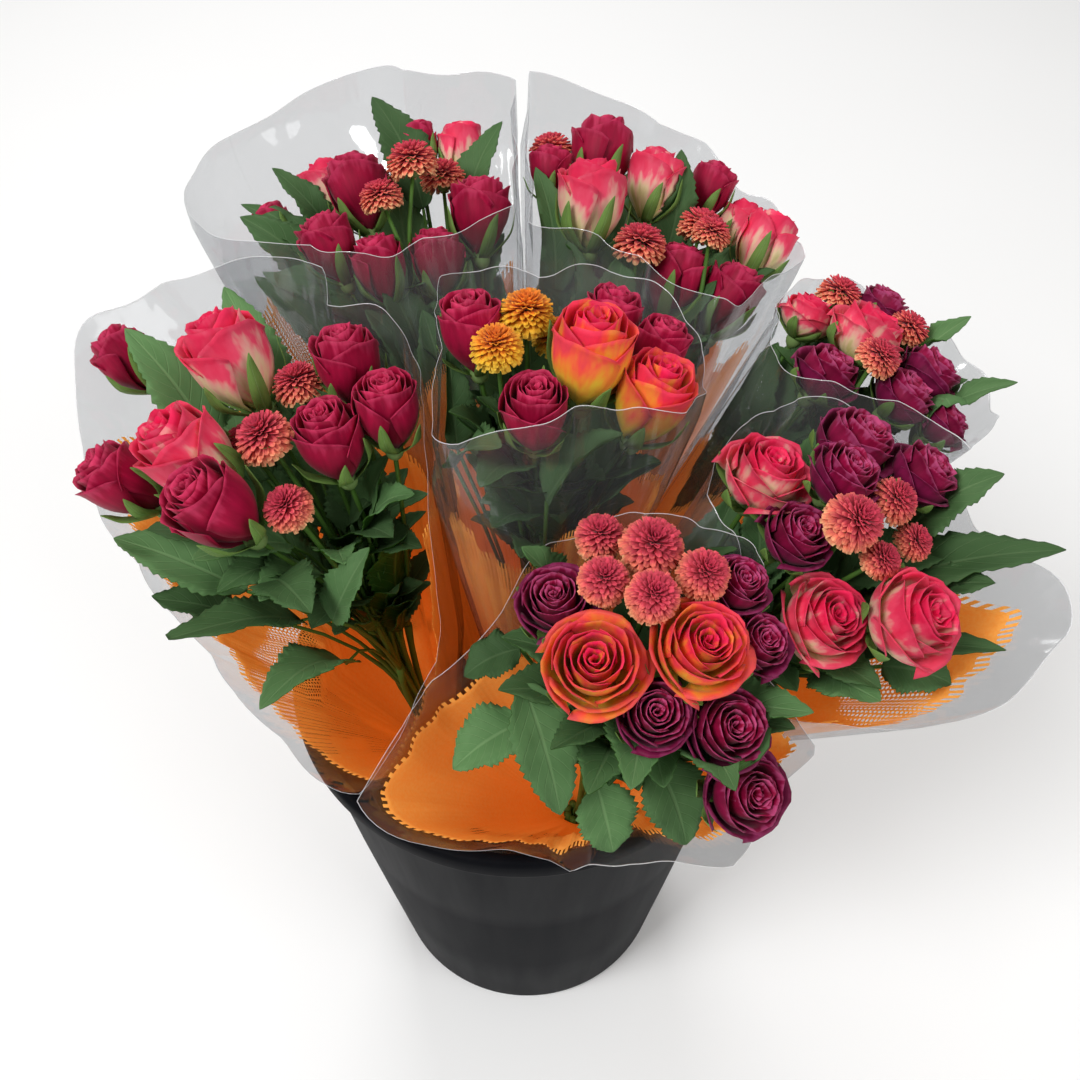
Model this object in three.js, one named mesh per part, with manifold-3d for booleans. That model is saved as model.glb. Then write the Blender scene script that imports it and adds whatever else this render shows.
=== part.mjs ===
// A black flower bucket holding seven sleeved bunches of spray roses and spray chrysanthemums.
// Every bunch has its sprays of bloom, its leafy stems, an orange net wrap, a clear film sleeve
// and a tie, and stands in the water of the bucket.
// Millimetres, +Z up. The origin is the middle of the bucket's underside. -Y is the front.

import * as THREE from "three";
import { mergeVertices } from "three/addons/utils/BufferGeometryUtils.js";
import Module from "manifold-3d";

const wasm = await Module();
wasm.setup();

// ---- Driving dimensions ----

const BUCKET = { height: 320, rimRadius: 150, footRadius: 108, wall: 2.6, floor: 3, sides: 24 };
const FOOT_BEVEL = { across: 3, up: 4 };
const LIP = { height: 16, depth: 6, inner: 141, bevel: 2 };
const FIT = 0.3; // clearance between pieces that rest on each other
const WATER = { level: 140, wallGap: 0.5, cutPast: 2 }; // the holes for the stems are cut past its ends

const COLLAR = { low: 180, top: 200, radius: 10 }; // where a bunch is tied together
const FOOT_PULL = 0.8; // the feet stand nearer to the middle than the collars
const SHEET = 0.9; // thickness of film and net
const NECK_GAP = 0.6; // between bundle, net, film and tie at the collar
const TIE = { height: 8, depth: 2, sides: 7, rise: 5 }; // rise above the foot of the collar
const SHEET_SIDES = 12;
const NET_INSET = 3; // the net stands this far inside the film
const NET_NECK_INSET = SHEET + NECK_GAP; // and this far at the collar
const NET_BELOW_FILM = 12;
const FILM_LEAN = 0.12; // least slope of a film that nothing pushes out
const FLAP_TAPER = 6; // power of the cosine that rounds a flap off to its sides
const KINK_BELOW_EDGE = 8; // the film stops flaring at the blooms, at least this far below its edge
const CELL_GAP = 5.2; // between the films of two neighbouring bunches
const FACING_LEAST = 0.02; // a neighbour further round than this cosine leaves the film alone
const HEAD_RISE = 300; // the blooms stand about this far above the collar
const BLOOM_TO_FILM = 6;
const BLOOM_SETTLED = 5; // the same while the blooms settle
const LEAF_TO_FILM = 8;
const RIM_PASS = { level: 322, radius: 138, slope: 1.45 }; // films lean out over the rim
const WAIST_REACH = 90; // a bunch's middle line stays this near to the axis at the rim
const WALL_LEAN = 0.13;

const SETTLE_ROUNDS = 80;
const BLOOM_GAP = 1.4; // between two blooms
const OUTWARD = 1.45; // how much more the outer blooms look outwards than they stand
const ROSE = { steps: 10, foot: -0.85 }; // foot: where the stalk joins, in bloom radii
const MUM = { steps: 12, foot: -0.5 };
const TWIST = { bloom: 0.37, kind: 0.21 }; // turn from one bloom or kind to the next, in steps

const STALK = { radius: 1.5, steps: 2, straight: 0.45 }; // flower stalks of a spray
const STEM = { radius: 2.4, steps: 2 }; // leafy stems and main stems
const ROD_SIDES = { stem: 3, fork: 5 };
// Where a spray forks: its share of the way up, how far from the middle line and how much lower
// than the spray before it, and the knuckle itself.
const FORK = { share: 0.42, apart: 12, drop: 10, radius: 3, length: 7, gap: 0.9, turn: 30 };
const CLEAR = 1.1; // kept free round every stalk
const ROUTE_POINTS = 24; // on each of a stalk's straight lengths
const SHEET_POINTS = 6;
const SHEET_FIRST = 20; // staying inside the sheet counts more than room between stalks
const LOOSE_ABOVE = 12; // above the collar, where stalks may still touch the sheet's line
const BULGES = [0, 6, 12, 20, 30, 42, 56];
const BULGE_TURNS = 16;
const CUT_ROOM = 0.6; // room cut into leaves round what they would cross
const BLOOM_ROOM = 1.5;
const STALK_ROOM = 2;

// A leaf's half width along its length, as shares of both: lobes with teeth between them.
const LEAF_STATIONS = [
  [0.08, 0.4],
  [0.3, 1],
  [0.43, 0.76],
  [0.6, 0.92],
  [0.74, 0.56],
];
const LEAF = { thick: 1.5, arch: 0.1, fold: 0.28, waist: 0.08, room: 3, stemRoom: 3 };
const START = { spread: 6, depth: 3 }; // where the stems leave the top of the bundle
const BUNDLE = { points: 12, dip: 1.4, holeSides: 8, holeRoom: 2 };

const WELD = 1e-4; // points nearer than this are one
const SLIVER = 0.01; // edges and bulges smaller than this are smoothed away after cuts and joins
const TINY = 1e-9;

// ---- The seven bunches ----
// Places are millimetres from the origin, read off the real arrangement to the nearest 5 mm or so.
// edge: height of the film's rim every 45 degrees, from +X round through +Y.
// net: height of the net's points, and how far they swing. flaps: a bearing in degrees and how
// much further the film stands out there.
// blooms: x, y, z of the middle, and width. leaves: x, y, z of the base, x, y, z of the tip, width.

const BUNCHES = [
  {
    name: "left",
    collar: [-62, 6],
    head: [-148, 33, 483],
    share: 95,
    edge: [500, 520, 530, 480, 425, 385, 356, 395],
    net: [425, 18],
    flaps: [
      [215, 15],
      [262, 42],
      [281, 130],
    ],
    crimson: [
      [-245, 112, 470, 31],
      [-230, 20, 455, 35],
      [-162, -24, 480, 40],
      [-98, 64, 505, 34],
      [-102, 18, 490, 35],
      [-70, 28, 500, 33],
    ],
    bicolor: [
      [-167, 74, 500, 44],
      [-182, 12, 482, 43],
    ],
    mums: [
      [-130, 66, 492, 28],
      [-140, 14, 498, 30],
      [-160, 38, 470, 26],
      [-126, -18, 475, 26],
      [-118, 40, 472, 23],
    ],
    leaves: [
      [-185, 60, 440, -232, 98, 505, 46],
      [-160, -20, 405, -236, 2, 430, 44],
      [-140, -24, 420, -112, -62, 440, 42],
      [-168, -20, 380, -214, -30, 412, 36],
      [-106, -46, 410, -84, -30, 455, 34],
      [-90, 4, 430, -60, -4, 470, 32],
      [-150, 90, 440, -186, 150, 500, 40],
    ],
  },
  {
    name: "back_left",
    collar: [-26, 60],
    head: [-84, 222, 513],
    share: 82,
    edge: [545, 556, 552, 526, 518, 518, 524, 532],
    net: [440, 16],
    flaps: [[12, 70]],
    crimson: [
      [-172, 242, 480, 26],
      [-123, 182, 505, 32],
      [-109, 226, 518, 36],
      [-90, 166, 500, 31],
      [-28, 204, 515, 35],
      [-55, 176, 498, 31],
      [-74, 286, 515, 28],
    ],
    bicolor: [
      [-44, 286, 512, 31],
      [-134, 262, 495, 34],
    ],
    mums: [
      [-90, 196, 534, 26],
      [-70, 212, 550, 30],
      [-54, 236, 525, 28],
      [-104, 268, 500, 26],
    ],
    leaves: [
      [-130, 192, 446, -188, 224, 502, 54],
      [-128, 232, 470, -168, 254, 520, 34],
      [-70, 250, 490, -104, 304, 545, 42],
      [-40, 236, 490, -16, 268, 545, 34],
      [-84, 180, 440, -60, 138, 500, 36],
      [-116, 150, 436, -150, 146, 496, 40],
    ],
  },
  {
    name: "back_right",
    collar: [30, 60],
    head: [88, 226, 503],
    share: 88,
    edge: [482, 490, 520, 545, 530, 515, 512, 490],
    net: [430, 16],
    flaps: [[160, 70]],
    crimson: [
      [50, 268, 520, 38],
      [128, 262, 498, 28],
      [104, 178, 480, 36],
      [142, 164, 474, 35],
      [16, 250, 520, 26],
    ],
    bicolor: [
      [43, 206, 522, 40],
      [86, 246, 512, 34],
      [160, 210, 488, 34],
      [148, 246, 478, 28],
    ],
    mums: [
      [4, 282, 522, 28],
      [74, 178, 512, 32],
      [118, 212, 502, 30],
      [120, 190, 512, 24],
    ],
    leaves: [
      [20, 190, 460, 0, 236, 530, 38],
      [40, 160, 450, 14, 168, 510, 44],
      [62, 150, 440, 66, 178, 506, 40],
      [96, 222, 470, 104, 258, 530, 34],
      [120, 190, 440, 196, 176, 486, 36],
      [90, 150, 420, 116, 128, 470, 40],
      [70, 270, 450, 96, 304, 505, 38],
    ],
  },
  {
    name: "centre",
    collar: [4, 6],
    head: [23, 40, 536],
    share: 62,
    edge: [520, 530, 540, 545, 545, 545, 545, 532],
    net: [450, 14],
    flaps: [[235, 30]],
    crimson: [
      [-38, 56, 540, 32],
      [50, 78, 524, 30],
      [8, -4, 528, 31],
      [76, 58, 520, 28],
    ],
    bicolor: [
      [38, 24, 542, 40],
      [70, 14, 522, 38],
    ],
    mums: [
      [-2, 54, 548, 29],
      [-12, 22, 552, 26],
      [20, 62, 528, 26],
    ],
    leaves: [
      [-36, 6, 480, -10, -18, 520, 44],
      [14, -20, 480, 52, -10, 520, 46],
      [-30, 90, 480, -6, 112, 530, 38],
      [40, 100, 470, 66, 112, 510, 36],
      [-48, 30, 470, -58, 56, 525, 32],
    ],
  },
  {
    name: "front",
    collar: [36, -52],
    head: [73, -106, 478],
    share: 88,
    edge: [430, 490, 500, 480, 388, 350, 340, 375],
    net: [392, 22],
    flaps: [
      [272, 62],
      [204, 170],
    ],
    crimson: [
      [18, -88, 480, 34],
      [108, -84, 486, 28],
      [114, -104, 472, 29],
      [64, -138, 458, 32],
      [102, -138, 440, 38],
      [112, -152, 412, 38],
    ],
    bicolor: [
      [36, -126, 480, 42],
      [86, -116, 486, 42],
    ],
    mums: [
      [42, -62, 500, 24],
      [66, -74, 505, 30],
      [88, -88, 502, 25],
      [42, -94, 504, 24],
      [64, -106, 505, 25],
    ],
    leaves: [
      [2, -110, 442, 26, -156, 386, 56],
      [2, -108, 404, -36, -128, 390, 42],
      [70, -128, 400, 88, -160, 366, 44],
      [104, -112, 410, 146, -118, 396, 40],
      [20, -66, 450, -8, -58, 494, 38],
      [90, -60, 440, 120, -48, 495, 40],
      [0, -80, 430, -30, -90, 420, 36],
      [40, -130, 380, 50, -170, 345, 40],
    ],
  },
  {
    name: "right",
    collar: [64, -14],
    head: [178, -40, 488],
    share: 84,
    edge: [440, 480, 500, 500, 485, 430, 405, 410],
    net: [415, 20],
    flaps: [
      [350, 72],
      [318, 42],
    ],
    crimson: [
      [124, -56, 490, 32],
      [164, -18, 502, 34],
      [178, 18, 498, 40],
      [214, -6, 488, 34],
    ],
    bicolor: [
      [128, -14, 498, 42],
      [156, -90, 460, 42],
      [196, -88, 466, 44],
    ],
    mums: [
      [164, -54, 506, 29],
      [192, -32, 496, 24],
      [206, -44, 476, 20],
      [184, -62, 482, 20],
    ],
    leaves: [
      [210, -20, 450, 254, -12, 494, 42],
      [214, -50, 430, 246, -60, 462, 34],
      [160, -80, 410, 186, -108, 425, 42],
      [200, -70, 400, 250, -92, 405, 50],
      [150, 20, 430, 158, 48, 490, 36],
      [130, -60, 420, 118, -84, 440, 30],
    ],
  },
  {
    name: "right_back",
    collar: [58, 28],
    head: [213, 98, 493],
    share: 80,
    edge: [465, 480, 495, 500, 508, 505, 500, 480],
    net: [415, 18],
    flaps: [[20, 10]],
    crimson: [
      [220, 134, 494, 28],
      [176, 62, 500, 34],
      [240, 84, 482, 35],
      [222, 60, 486, 32],
      [246, 54, 470, 28],
    ],
    bicolor: [
      [176, 122, 498, 30],
      [206, 96, 502, 40],
    ],
    mums: [
      [196, 136, 500, 26],
      [230, 110, 496, 24],
      [196, 66, 508, 24],
    ],
    leaves: [
      [240, 64, 440, 278, 56, 500, 34],
      [230, 100, 450, 264, 108, 506, 36],
      [180, 140, 440, 200, 176, 486, 36],
      [180, 90, 430, 150, 96, 494, 38],
      [210, 50, 420, 236, 26, 450, 34],
    ],
  },
];

const COLOURS = {
  crimson: { colour: 0x8e1232, roughness: 0.6 },
  bicolor: { colour: 0xe0562c, roughness: 0.6 },
  mums: { colour: 0xd98a52, roughness: 0.7 },
};
const GREEN = { colour: 0x2c5a2e, roughness: 0.6 };
const FILM = { colour: 0xdfe6e8, roughness: 0.1, opacity: 0.35 };
const NET = { colour: 0xee7a20, roughness: 0.7 };
const BAND = { colour: 0xc9b27a, roughness: 0.8 };
const BLACK = { colour: 0x2b2c30, roughness: 0.45 };
const CLEAR_WATER = { colour: 0x9fb6b8, roughness: 0.05, opacity: 0.5 };
const KINDS = { crimson: "crimson_roses", bicolor: "bicolor_roses", mums: "chrysanthemums" };
const SPRAYS = Object.keys(KINDS);
const FOOT_LEVEL = BUCKET.floor + FIT;

// ---- Solids from closed point grids ----

/** A solid from an indexed list of points and triangles. */
function solidOf(points, triangles) {
  const mesh = new wasm.Mesh({
    numProp: 3,
    vertProperties: new Float32Array(points.flatMap((p) => [p.x, p.y, p.z])),
    triVerts: new Uint32Array(triangles.flat()),
  });
  return new wasm.Manifold(mesh);
}

/** Turns a closed three.js geometry into a solid. */
function solidFrom(geometry) {
  const bare = geometry.clone();
  bare.deleteAttribute("normal");
  bare.deleteAttribute("uv");
  const merged = mergeVertices(bare, WELD);
  const index = Array.from(merged.index.array);
  const triangles = [];
  for (let i = 0; i < index.length; i += 3) {
    const [a, b, c] = index.slice(i, i + 3);
    if (a !== b && b !== c && a !== c) triangles.push([a, b, c]);
  }
  const place = merged.attributes.position;
  const points = Array.from({ length: place.count }, (_, i) =>
    new THREE.Vector3().fromBufferAttribute(place, i),
  );
  return solidOf(points, triangles);
}

/**
 * A closed solid stacked up from rings of points. Neighbouring rings may differ in count,
 * and a ring of one point closes an end. The rings run anticlockwise seen from the last one.
 */
function stackOf(rings) {
  const triangles = [];
  let low = 0;
  for (let row = 0; row + 1 < rings.length; row += 1) {
    const [n, m] = [rings[row].length, rings[row + 1].length];
    const high = low + n;
    let [i, j] = [0, 0];
    while (i < n || j < m) {
      const alongLow = (n > 1 && i < n) && (m === 1 || j === m || (i + 1) / n <= (j + 1) / m);
      if (alongLow) {
        triangles.push([low + (i % n), low + ((i + 1) % n), high + (j % m)]);
        i += 1;
      } else {
        if (m > 1) triangles.push([low + (i % n), high + ((j + 1) % m), high + (j % m)]);
        j += 1;
      }
      if (n === 1) i = j === m ? n : 0;
      if (m === 1) j = i === n ? m : 0;
    }
    low = high;
  }
  const last = rings[rings.length - 1].length;
  for (let k = 1; k + 1 < rings[0].length; k += 1) triangles.push([0, k + 1, k]);
  for (let k = 1; k + 1 < last; k += 1) triangles.push([low, low + k, low + k + 1]);
  return solidOf(rings.flat(), triangles);
}

/**
 * A ring-shaped shell: each of its columns is a closed loop of points, the first half on its
 * outer face and the second half on its inner one. Both faces are split into triangles alike.
 */
function shellOf(columns) {
  const around = columns.length;
  const loop = columns[0].length;
  const triangles = [];
  for (let i = 0; i < around; i += 1) {
    const next = ((i + 1) % around) * loop;
    const here = i * loop;
    for (let j = 0; j < loop; j += 1) {
      const up = (j + 1) % loop;
      if (j < loop / 2) {
        triangles.push([here + j, next + j, next + up], [here + j, next + up, here + up]);
      } else {
        triangles.push([here + j, next + j, here + up], [next + j, next + up, here + up]);
      }
    }
  }
  return solidOf(columns.flat(), triangles);
}

const unionOf = (solids) => solids.reduce((sum, solid) => sum.add(solid));

/** Keeps the largest body of a solid that a cut has left in several. */
function wholeOf(solid) {
  return solid.decompose().reduce((best, part) => (part.volume() > best.volume() ? part : best));
}

// ---- Where things stand ----

const turn = (degrees) => (degrees * Math.PI) / 180;
const vec = (x, y, z) => new THREE.Vector3(x, y, z);
const HALF_STEP = Math.PI / SHEET_SIDES;

/** The bunch's middle line at a height: collar, waist at the bucket's rim, head. */
function middleAt(bunch, z) {
  const [from, to, low, high] =
    z < RIM_PASS.level
      ? [bunch.collar, bunch.waist, COLLAR.top, RIM_PASS.level]
      : [bunch.waist, bunch.head, RIM_PASS.level, bunch.head[2]];
  const rise = THREE.MathUtils.clamp((z - low) / (high - low), 0, 1);
  return from.map((c, k) => c + (to[k] - c) * rise);
}

// At the bucket's rim a bunch still stands well inside it.
for (const bunch of BUNCHES) {
  const share = (RIM_PASS.level - COLLAR.top) / (bunch.head[2] - COLLAR.top);
  const straight = bunch.collar.map((c, k) => c + (bunch.head[k] - c) * share);
  const out = Math.sqrt(straight[0] ** 2 + straight[1] ** 2);
  bunch.waist = straight.map((c) => c * Math.min(WAIST_REACH / out, 1));
}

/** How far the film stands from the middle line, in one direction and at one height. */
function filmReach(bunch, angle, z) {
  const [ux, uy] = [Math.cos(angle), Math.sin(angle)];
  const neck = COLLAR.radius + NECK_GAP * 2 + SHEET * 2;
  if (z <= COLLAR.top) return neck;
  const rise = Math.min(z, bunch.head[2]) - COLLAR.top;
  let slope = FILM_LEAN;
  for (const bloom of bunch.blooms) {
    const [ax, ay] = middleAt(bunch, bloom.home.z);
    const [dx, dy] = [bloom.home.x - ax, bloom.home.y - ay];
    const aside = Math.acos(Math.cos(Math.atan2(dy, dx) - angle));
    const facing = Math.cos(Math.max(aside - HALF_STEP, 0));
    const out = Math.sqrt(dx * dx + dy * dy) * facing + bloom.radius + BLOOM_TO_FILM;
    slope = Math.max(slope, (out / Math.cos(HALF_STEP) - neck) / (bloom.home.z - COLLAR.top));
  }
  for (const [flapAngle, flapReach] of bunch.flaps) {
    const lobe = Math.max(Math.cos(angle - turn(flapAngle)), 0) ** FLAP_TAPER;
    slope += (lobe * flapReach) / (bunch.head[2] - COLLAR.top);
  }
  let reach = neck + slope * rise;
  const [ax, ay] = middleAt(bunch, z);
  for (const other of BUNCHES) {
    if (other === bunch) continue;
    const [bx, by] = middleAt(other, z);
    const [dx, dy] = [bx - ax, by - ay];
    const apart = Math.sqrt(dx * dx + dy * dy);
    const facing = (dx * ux + dy * uy) / apart;
    if (facing <= FACING_LEAST) continue;
    const weight = Math.min(rise / HEAD_RISE, 1);
    const shift = ((bunch.share ** 2 - other.share ** 2) / (2 * apart)) * weight * weight;
    reach = Math.min(reach, (apart / 2 + shift - CELL_GAP / 2) / facing);
  }
  const wallSlope = z > RIM_PASS.level ? RIM_PASS.slope : WALL_LEAN;
  const wall = RIM_PASS.radius + (z - RIM_PASS.level) * wallSlope;
  const along = ax * ux + ay * uy;
  return Math.min(reach, Math.sqrt(along * along + wall * wall - ax * ax - ay * ay) - along);
}

/** The same for a direction between two of the film's folds, where it runs straight. */
function sheetReach(bunch, angle, z) {
  const step = angle / (2 * HALF_STEP);
  const low = Math.floor(step) * 2 * HALF_STEP;
  const near = filmReach(bunch, low, z);
  const far = filmReach(bunch, low + 2 * HALF_STEP, z);
  const past = angle - low;
  const left = 2 * HALF_STEP - past;
  return (near * far * Math.sin(2 * HALF_STEP)) / (near * Math.sin(past) + far * Math.sin(left));
}

/** Height of the film's rim in one direction. */
function filmEdge(bunch, angle) {
  const step = (((angle / (Math.PI / 4)) % 8) + 8) % 8;
  const low = Math.floor(step);
  const blend = (1 - Math.cos((step - low) * Math.PI)) / 2;
  return bunch.edge[low] * (1 - blend) + bunch.edge[(low + 1) % 8] * blend;
}

/** Draws a point in until it stands inside the film by the given inset. */
function heldIn(bunch, point, inset) {
  const [ax, ay] = middleAt(bunch, point.z);
  const [dx, dy] = [point.x - ax, point.y - ay];
  const out = Math.sqrt(dx * dx + dy * dy);
  if (out < TINY) return point;
  const most = Math.max(sheetReach(bunch, Math.atan2(dy, dx), point.z) - inset, 1);
  if (out <= most) return point;
  return vec(ax + (dx * most) / out, ay + (dy * most) / out, point.z);
}

// ---- Blooms settle against each other ----

for (const bunch of BUNCHES) {
  bunch.blooms = Object.keys(KINDS).flatMap((kind) =>
    bunch[kind].map(([x, y, z, width]) => ({
      kind,
      bunch,
      home: vec(x, y, z),
      at: vec(x, y, z),
      radius: width / 2,
    })),
  );
}
const ALL_BLOOMS = BUNCHES.flatMap((bunch) => bunch.blooms);

for (let round = 0; round < SETTLE_ROUNDS; round += 1) {
  for (let i = 0; i < ALL_BLOOMS.length; i += 1) {
    for (let j = i + 1; j < ALL_BLOOMS.length; j += 1) {
      const [a, b] = [ALL_BLOOMS[i], ALL_BLOOMS[j]];
      const least = a.radius + b.radius + BLOOM_GAP;
      const apart = a.at.distanceTo(b.at);
      if (apart >= least) continue;
      const push = b.at.clone().sub(a.at).multiplyScalar((least - apart) / (2 * apart));
      a.at.sub(push);
      b.at.add(push);
    }
  }
  for (const bloom of ALL_BLOOMS) {
    bloom.at = heldIn(bloom.bunch, bloom.at, bloom.radius + BLOOM_SETTLED);
  }
}

/** A bloom looks away from the collar of its bunch, the outer ones further out. */
for (const bloom of ALL_BLOOMS) {
  const [cx, cy] = bloom.bunch.collar;
  bloom.axis = vec(
    (bloom.at.x - cx) * OUTWARD,
    (bloom.at.y - cy) * OUTWARD,
    bloom.at.z - COLLAR.top,
  ).normalize();
}

// ---- Petals ----

/** Carries a shape drawn round +Z onto a bloom's axis and place. */
function onBloom(bloom, point) {
  const spin = new THREE.Quaternion().setFromUnitVectors(vec(0, 0, 1), bloom.axis);
  return point.multiplyScalar(bloom.radius).applyQuaternion(spin).add(bloom.at);
}

/** A ring of points whose radius and height swing between a petal's middle and its gap. */
function petalRing(bloom, count, odd, even, twist) {
  return Array.from({ length: count }, (_, i) => {
    const angle = ((i + twist) / count) * 2 * Math.PI;
    const [radius, height] = i % 2 ? odd : even;
    return onBloom(bloom, vec(Math.cos(angle) * radius, Math.sin(angle) * radius, height));
  });
}

/**
 * Five sepals flare under the cup, five outer petals stand with notches between them,
 * and five inner ones rise behind the notches.
 */
function roseRings(bloom, twist) {
  return [
    petalRing(bloom, ROSE.steps, [0.46, -0.62], [0.84, -0.36], twist),
    petalRing(bloom, ROSE.steps, [1, 0.1], [0.82, 0.04], twist),
    petalRing(bloom, ROSE.steps, [0.82, 0.54], [0.64, 0.24], twist),
    petalRing(bloom, ROSE.steps, [0.46, 0.38], [0.42, 0.84], twist),
    [onBloom(bloom, vec(0, 0, 0.5))],
  ];
}

/** Rays in two layers round a raised eye. */
function mumRings(bloom, twist) {
  return [
    petalRing(bloom, MUM.steps, [1, -0.05], [0.7, -0.22], twist),
    petalRing(bloom, MUM.steps, [0.5, 0.14], [0.66, 0.36], twist),
    [onBloom(bloom, vec(0, 0, 0.42))],
  ];
}

// ---- Stalks and stems ----

/** A straight rod or a stem: a small section swept along a curve. */
function sweepOf(curve, radius, sides, steps) {
  const section = new THREE.Shape(ringOutline(sides, radius, 0));
  const options = { steps, extrudePath: curve, bevelEnabled: false };
  return solidFrom(new THREE.ExtrudeGeometry(section, options));
}

/** Points round a circle, every second one drawn in. */
function ringOutline(count, radius, dip) {
  return Array.from({ length: count }, (_, i) => {
    const angle = (i / count) * 2 * Math.PI;
    const reach = i % 2 ? radius - dip : radius;
    return new THREE.Vector2(Math.cos(angle) * reach, Math.sin(angle) * reach);
  });
}

/** Rings round a curve, from its start to its end. */
function stalkRings(curve, radius, steps) {
  return Array.from({ length: steps + 1 }, (_, k) => {
    const [at, ahead] = [curve.getPoint(k / steps), curve.getTangent(k / steps)];
    const spin = new THREE.Quaternion().setFromUnitVectors(vec(0, 0, 1), ahead);
    const outline = ringOutline(ROD_SIDES.stem, radius, 0);
    return outline.map(({ x, y }) => vec(x, y, 0).applyQuaternion(spin).add(at));
  });
}

const segmentGap = (() => {
  const line = new THREE.Line3();
  const near = new THREE.Vector3();
  return (a, b, point) => {
    line.set(a, b);
    line.closestPointToPoint(point, true, near);
    return near.distanceTo(point);
  };
})();

const routes = []; // every stalk laid so far, as points along it with an owner

/** Evenly spaced points along a chain of straight lengths. */
function alongChain(chain, count) {
  return chain.slice(1).flatMap((end, k) =>
    Array.from({ length: count }, (_, i) => chain[k].clone().lerp(end, (i + 1) / count)),
  );
}

/** How far a stalk stays inside the sheet, or by how much it leaves it. */
function sheetRoom(bunch, chain, radius) {
  const gaps = alongChain(chain, SHEET_POINTS)
    .filter((point) => point.z > COLLAR.top + LOOSE_ABOVE)
    .map((point) => {
      const [ax, ay] = middleAt(bunch, point.z);
      const [dx, dy] = [point.x - ax, point.y - ay];
      const reach = sheetReach(bunch, Math.atan2(dy, dx), point.z) - NET_INSET - SHEET;
      return reach - Math.sqrt(dx * dx + dy * dy) - radius - SHEET;
    });
  return Math.min(...gaps, 0);
}

/** The least room between a stalk and all blooms and stalks of other owners. */
function stalkRoom(chain, radius, owner, skip) {
  let room = CLEAR;
  for (let k = 0; k + 1 < chain.length; k += 1) {
    for (const bloom of ALL_BLOOMS) {
      if (bloom === skip) continue;
      room = Math.min(room, segmentGap(chain[k], chain[k + 1], bloom.at) - bloom.radius - radius);
    }
    for (const route of routes) {
      if (route.owner === owner || route === skip) continue;
      for (const point of route.points) {
        room = Math.min(room, segmentGap(chain[k], chain[k + 1], point) - route.radius - radius);
      }
    }
  }
  return room;
}

/** A curve from one point up to another that swings clear of what already stands there. */
function routeTo(bunch, from, to, aim, radius, owner, skip) {
  let best = null;
  for (const bulge of BULGES) {
    for (let k = 0; k < (bulge ? BULGE_TURNS : 1); k += 1) {
      const angle = (k / BULGE_TURNS) * 2 * Math.PI;
      const knee = aim.clone().add(vec(Math.cos(angle) * bulge, Math.sin(angle) * bulge, 0));
      const curve = new THREE.QuadraticBezierCurve3(from, knee, to);
      const chain = curve.getPoints(STALK.steps);
      const out = sheetRoom(bunch, chain, radius) * SHEET_FIRST;
      const room = out + stalkRoom(chain, radius, owner, skip);
      if (!best || room > best.room + TINY) best = { room, curve, chain };
    }
    if (best.room >= CLEAR) break;
  }
  routes.push({ points: [from, ...alongChain(best.chain, ROUTE_POINTS)], owner, radius });
  return best.curve;
}

/** Where a kind's spray forks: between the collar and the middle of its blooms. */
function forkOf(bunch, kind, index) {
  const own = bunch.blooms.filter((bloom) => bloom.kind === kind);
  const mean = own.reduce((sum, bloom) => sum.add(bloom.at), vec(0, 0, 0)).divideScalar(own.length);
  const z = COLLAR.top + (mean.z - COLLAR.top) * FORK.share - FORK.drop * index;
  const [ax, ay] = middleAt(bunch, z);
  const angle = turn((360 / SPRAYS.length) * index + FORK.turn);
  return vec(ax + Math.cos(angle) * FORK.apart, ay + Math.sin(angle) * FORK.apart, z);
}

// ---- Leaves ----

/** Cuts a leaf or stem clear of the blooms and stalks that it would cross. */
function cutClear(solid, blockers) {
  let rest = solid;
  for (const { body, room } of blockers) {
    if (rest.intersect(body).volume() > 0) rest = wholeOf(rest.subtract(room));
  }
  return rest;
}

/** Numbers the corners of rings from the one that faces a ring's first corner, so no twist arises. */
function startedLike(ring, rings) {
  const middleOf = (points) =>
    points.reduce((sum, point) => sum.add(point), vec(0, 0, 0)).divideScalar(points.length);
  const facing = ring[0].clone().sub(middleOf(ring));
  const middle = middleOf(rings[0]);
  const match = rings[0].map((point) => point.clone().sub(middle).normalize().dot(facing));
  const first = match.indexOf(Math.max(...match));
  return rings.map((points) => points.map((_, k) => points[(k + first) % points.length]));
}

/** The rings of a pointed, toothed blade, folded up along its rib and arched over its length. */
function leafRings(bunch, base, tip, width) {
  const run = tip.clone().sub(base);
  const length = run.length();
  const along = run.clone().normalize();
  const side = vec(-along.y, along.x, 0).normalize();
  const up = along.clone().cross(side).normalize();
  const place = (t, across) => {
    const arch = Math.sin(t * Math.PI) * length * LEAF.arch;
    const point = base.clone().addScaledVector(run, t);
    point.addScaledVector(side, across);
    point.addScaledVector(up, arch + Math.abs(across) * LEAF.fold);
    for (const bloom of bunch.blooms) {
      const away = point.clone().sub(bloom.at);
      const least = bloom.radius + LEAF.room;
      if (away.length() < least) point.copy(bloom.at).add(away.setLength(least));
    }
    return heldIn(bunch, point, LEAF_TO_FILM);
  };
  const rings = LEAF_STATIONS.map(([t, share]) => {
    const half = (width / 2) * share;
    const rib = place(t, 0);
    return [
      rib.clone().addScaledVector(up, LEAF.thick / 2),
      place(t, -half),
      rib.clone().addScaledVector(up, -LEAF.thick / 2),
      place(t, half),
    ];
  });
  return [...rings, [place(1, 0)]];
}

// ---- Bunches ----

const group = new THREE.Group();

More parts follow.
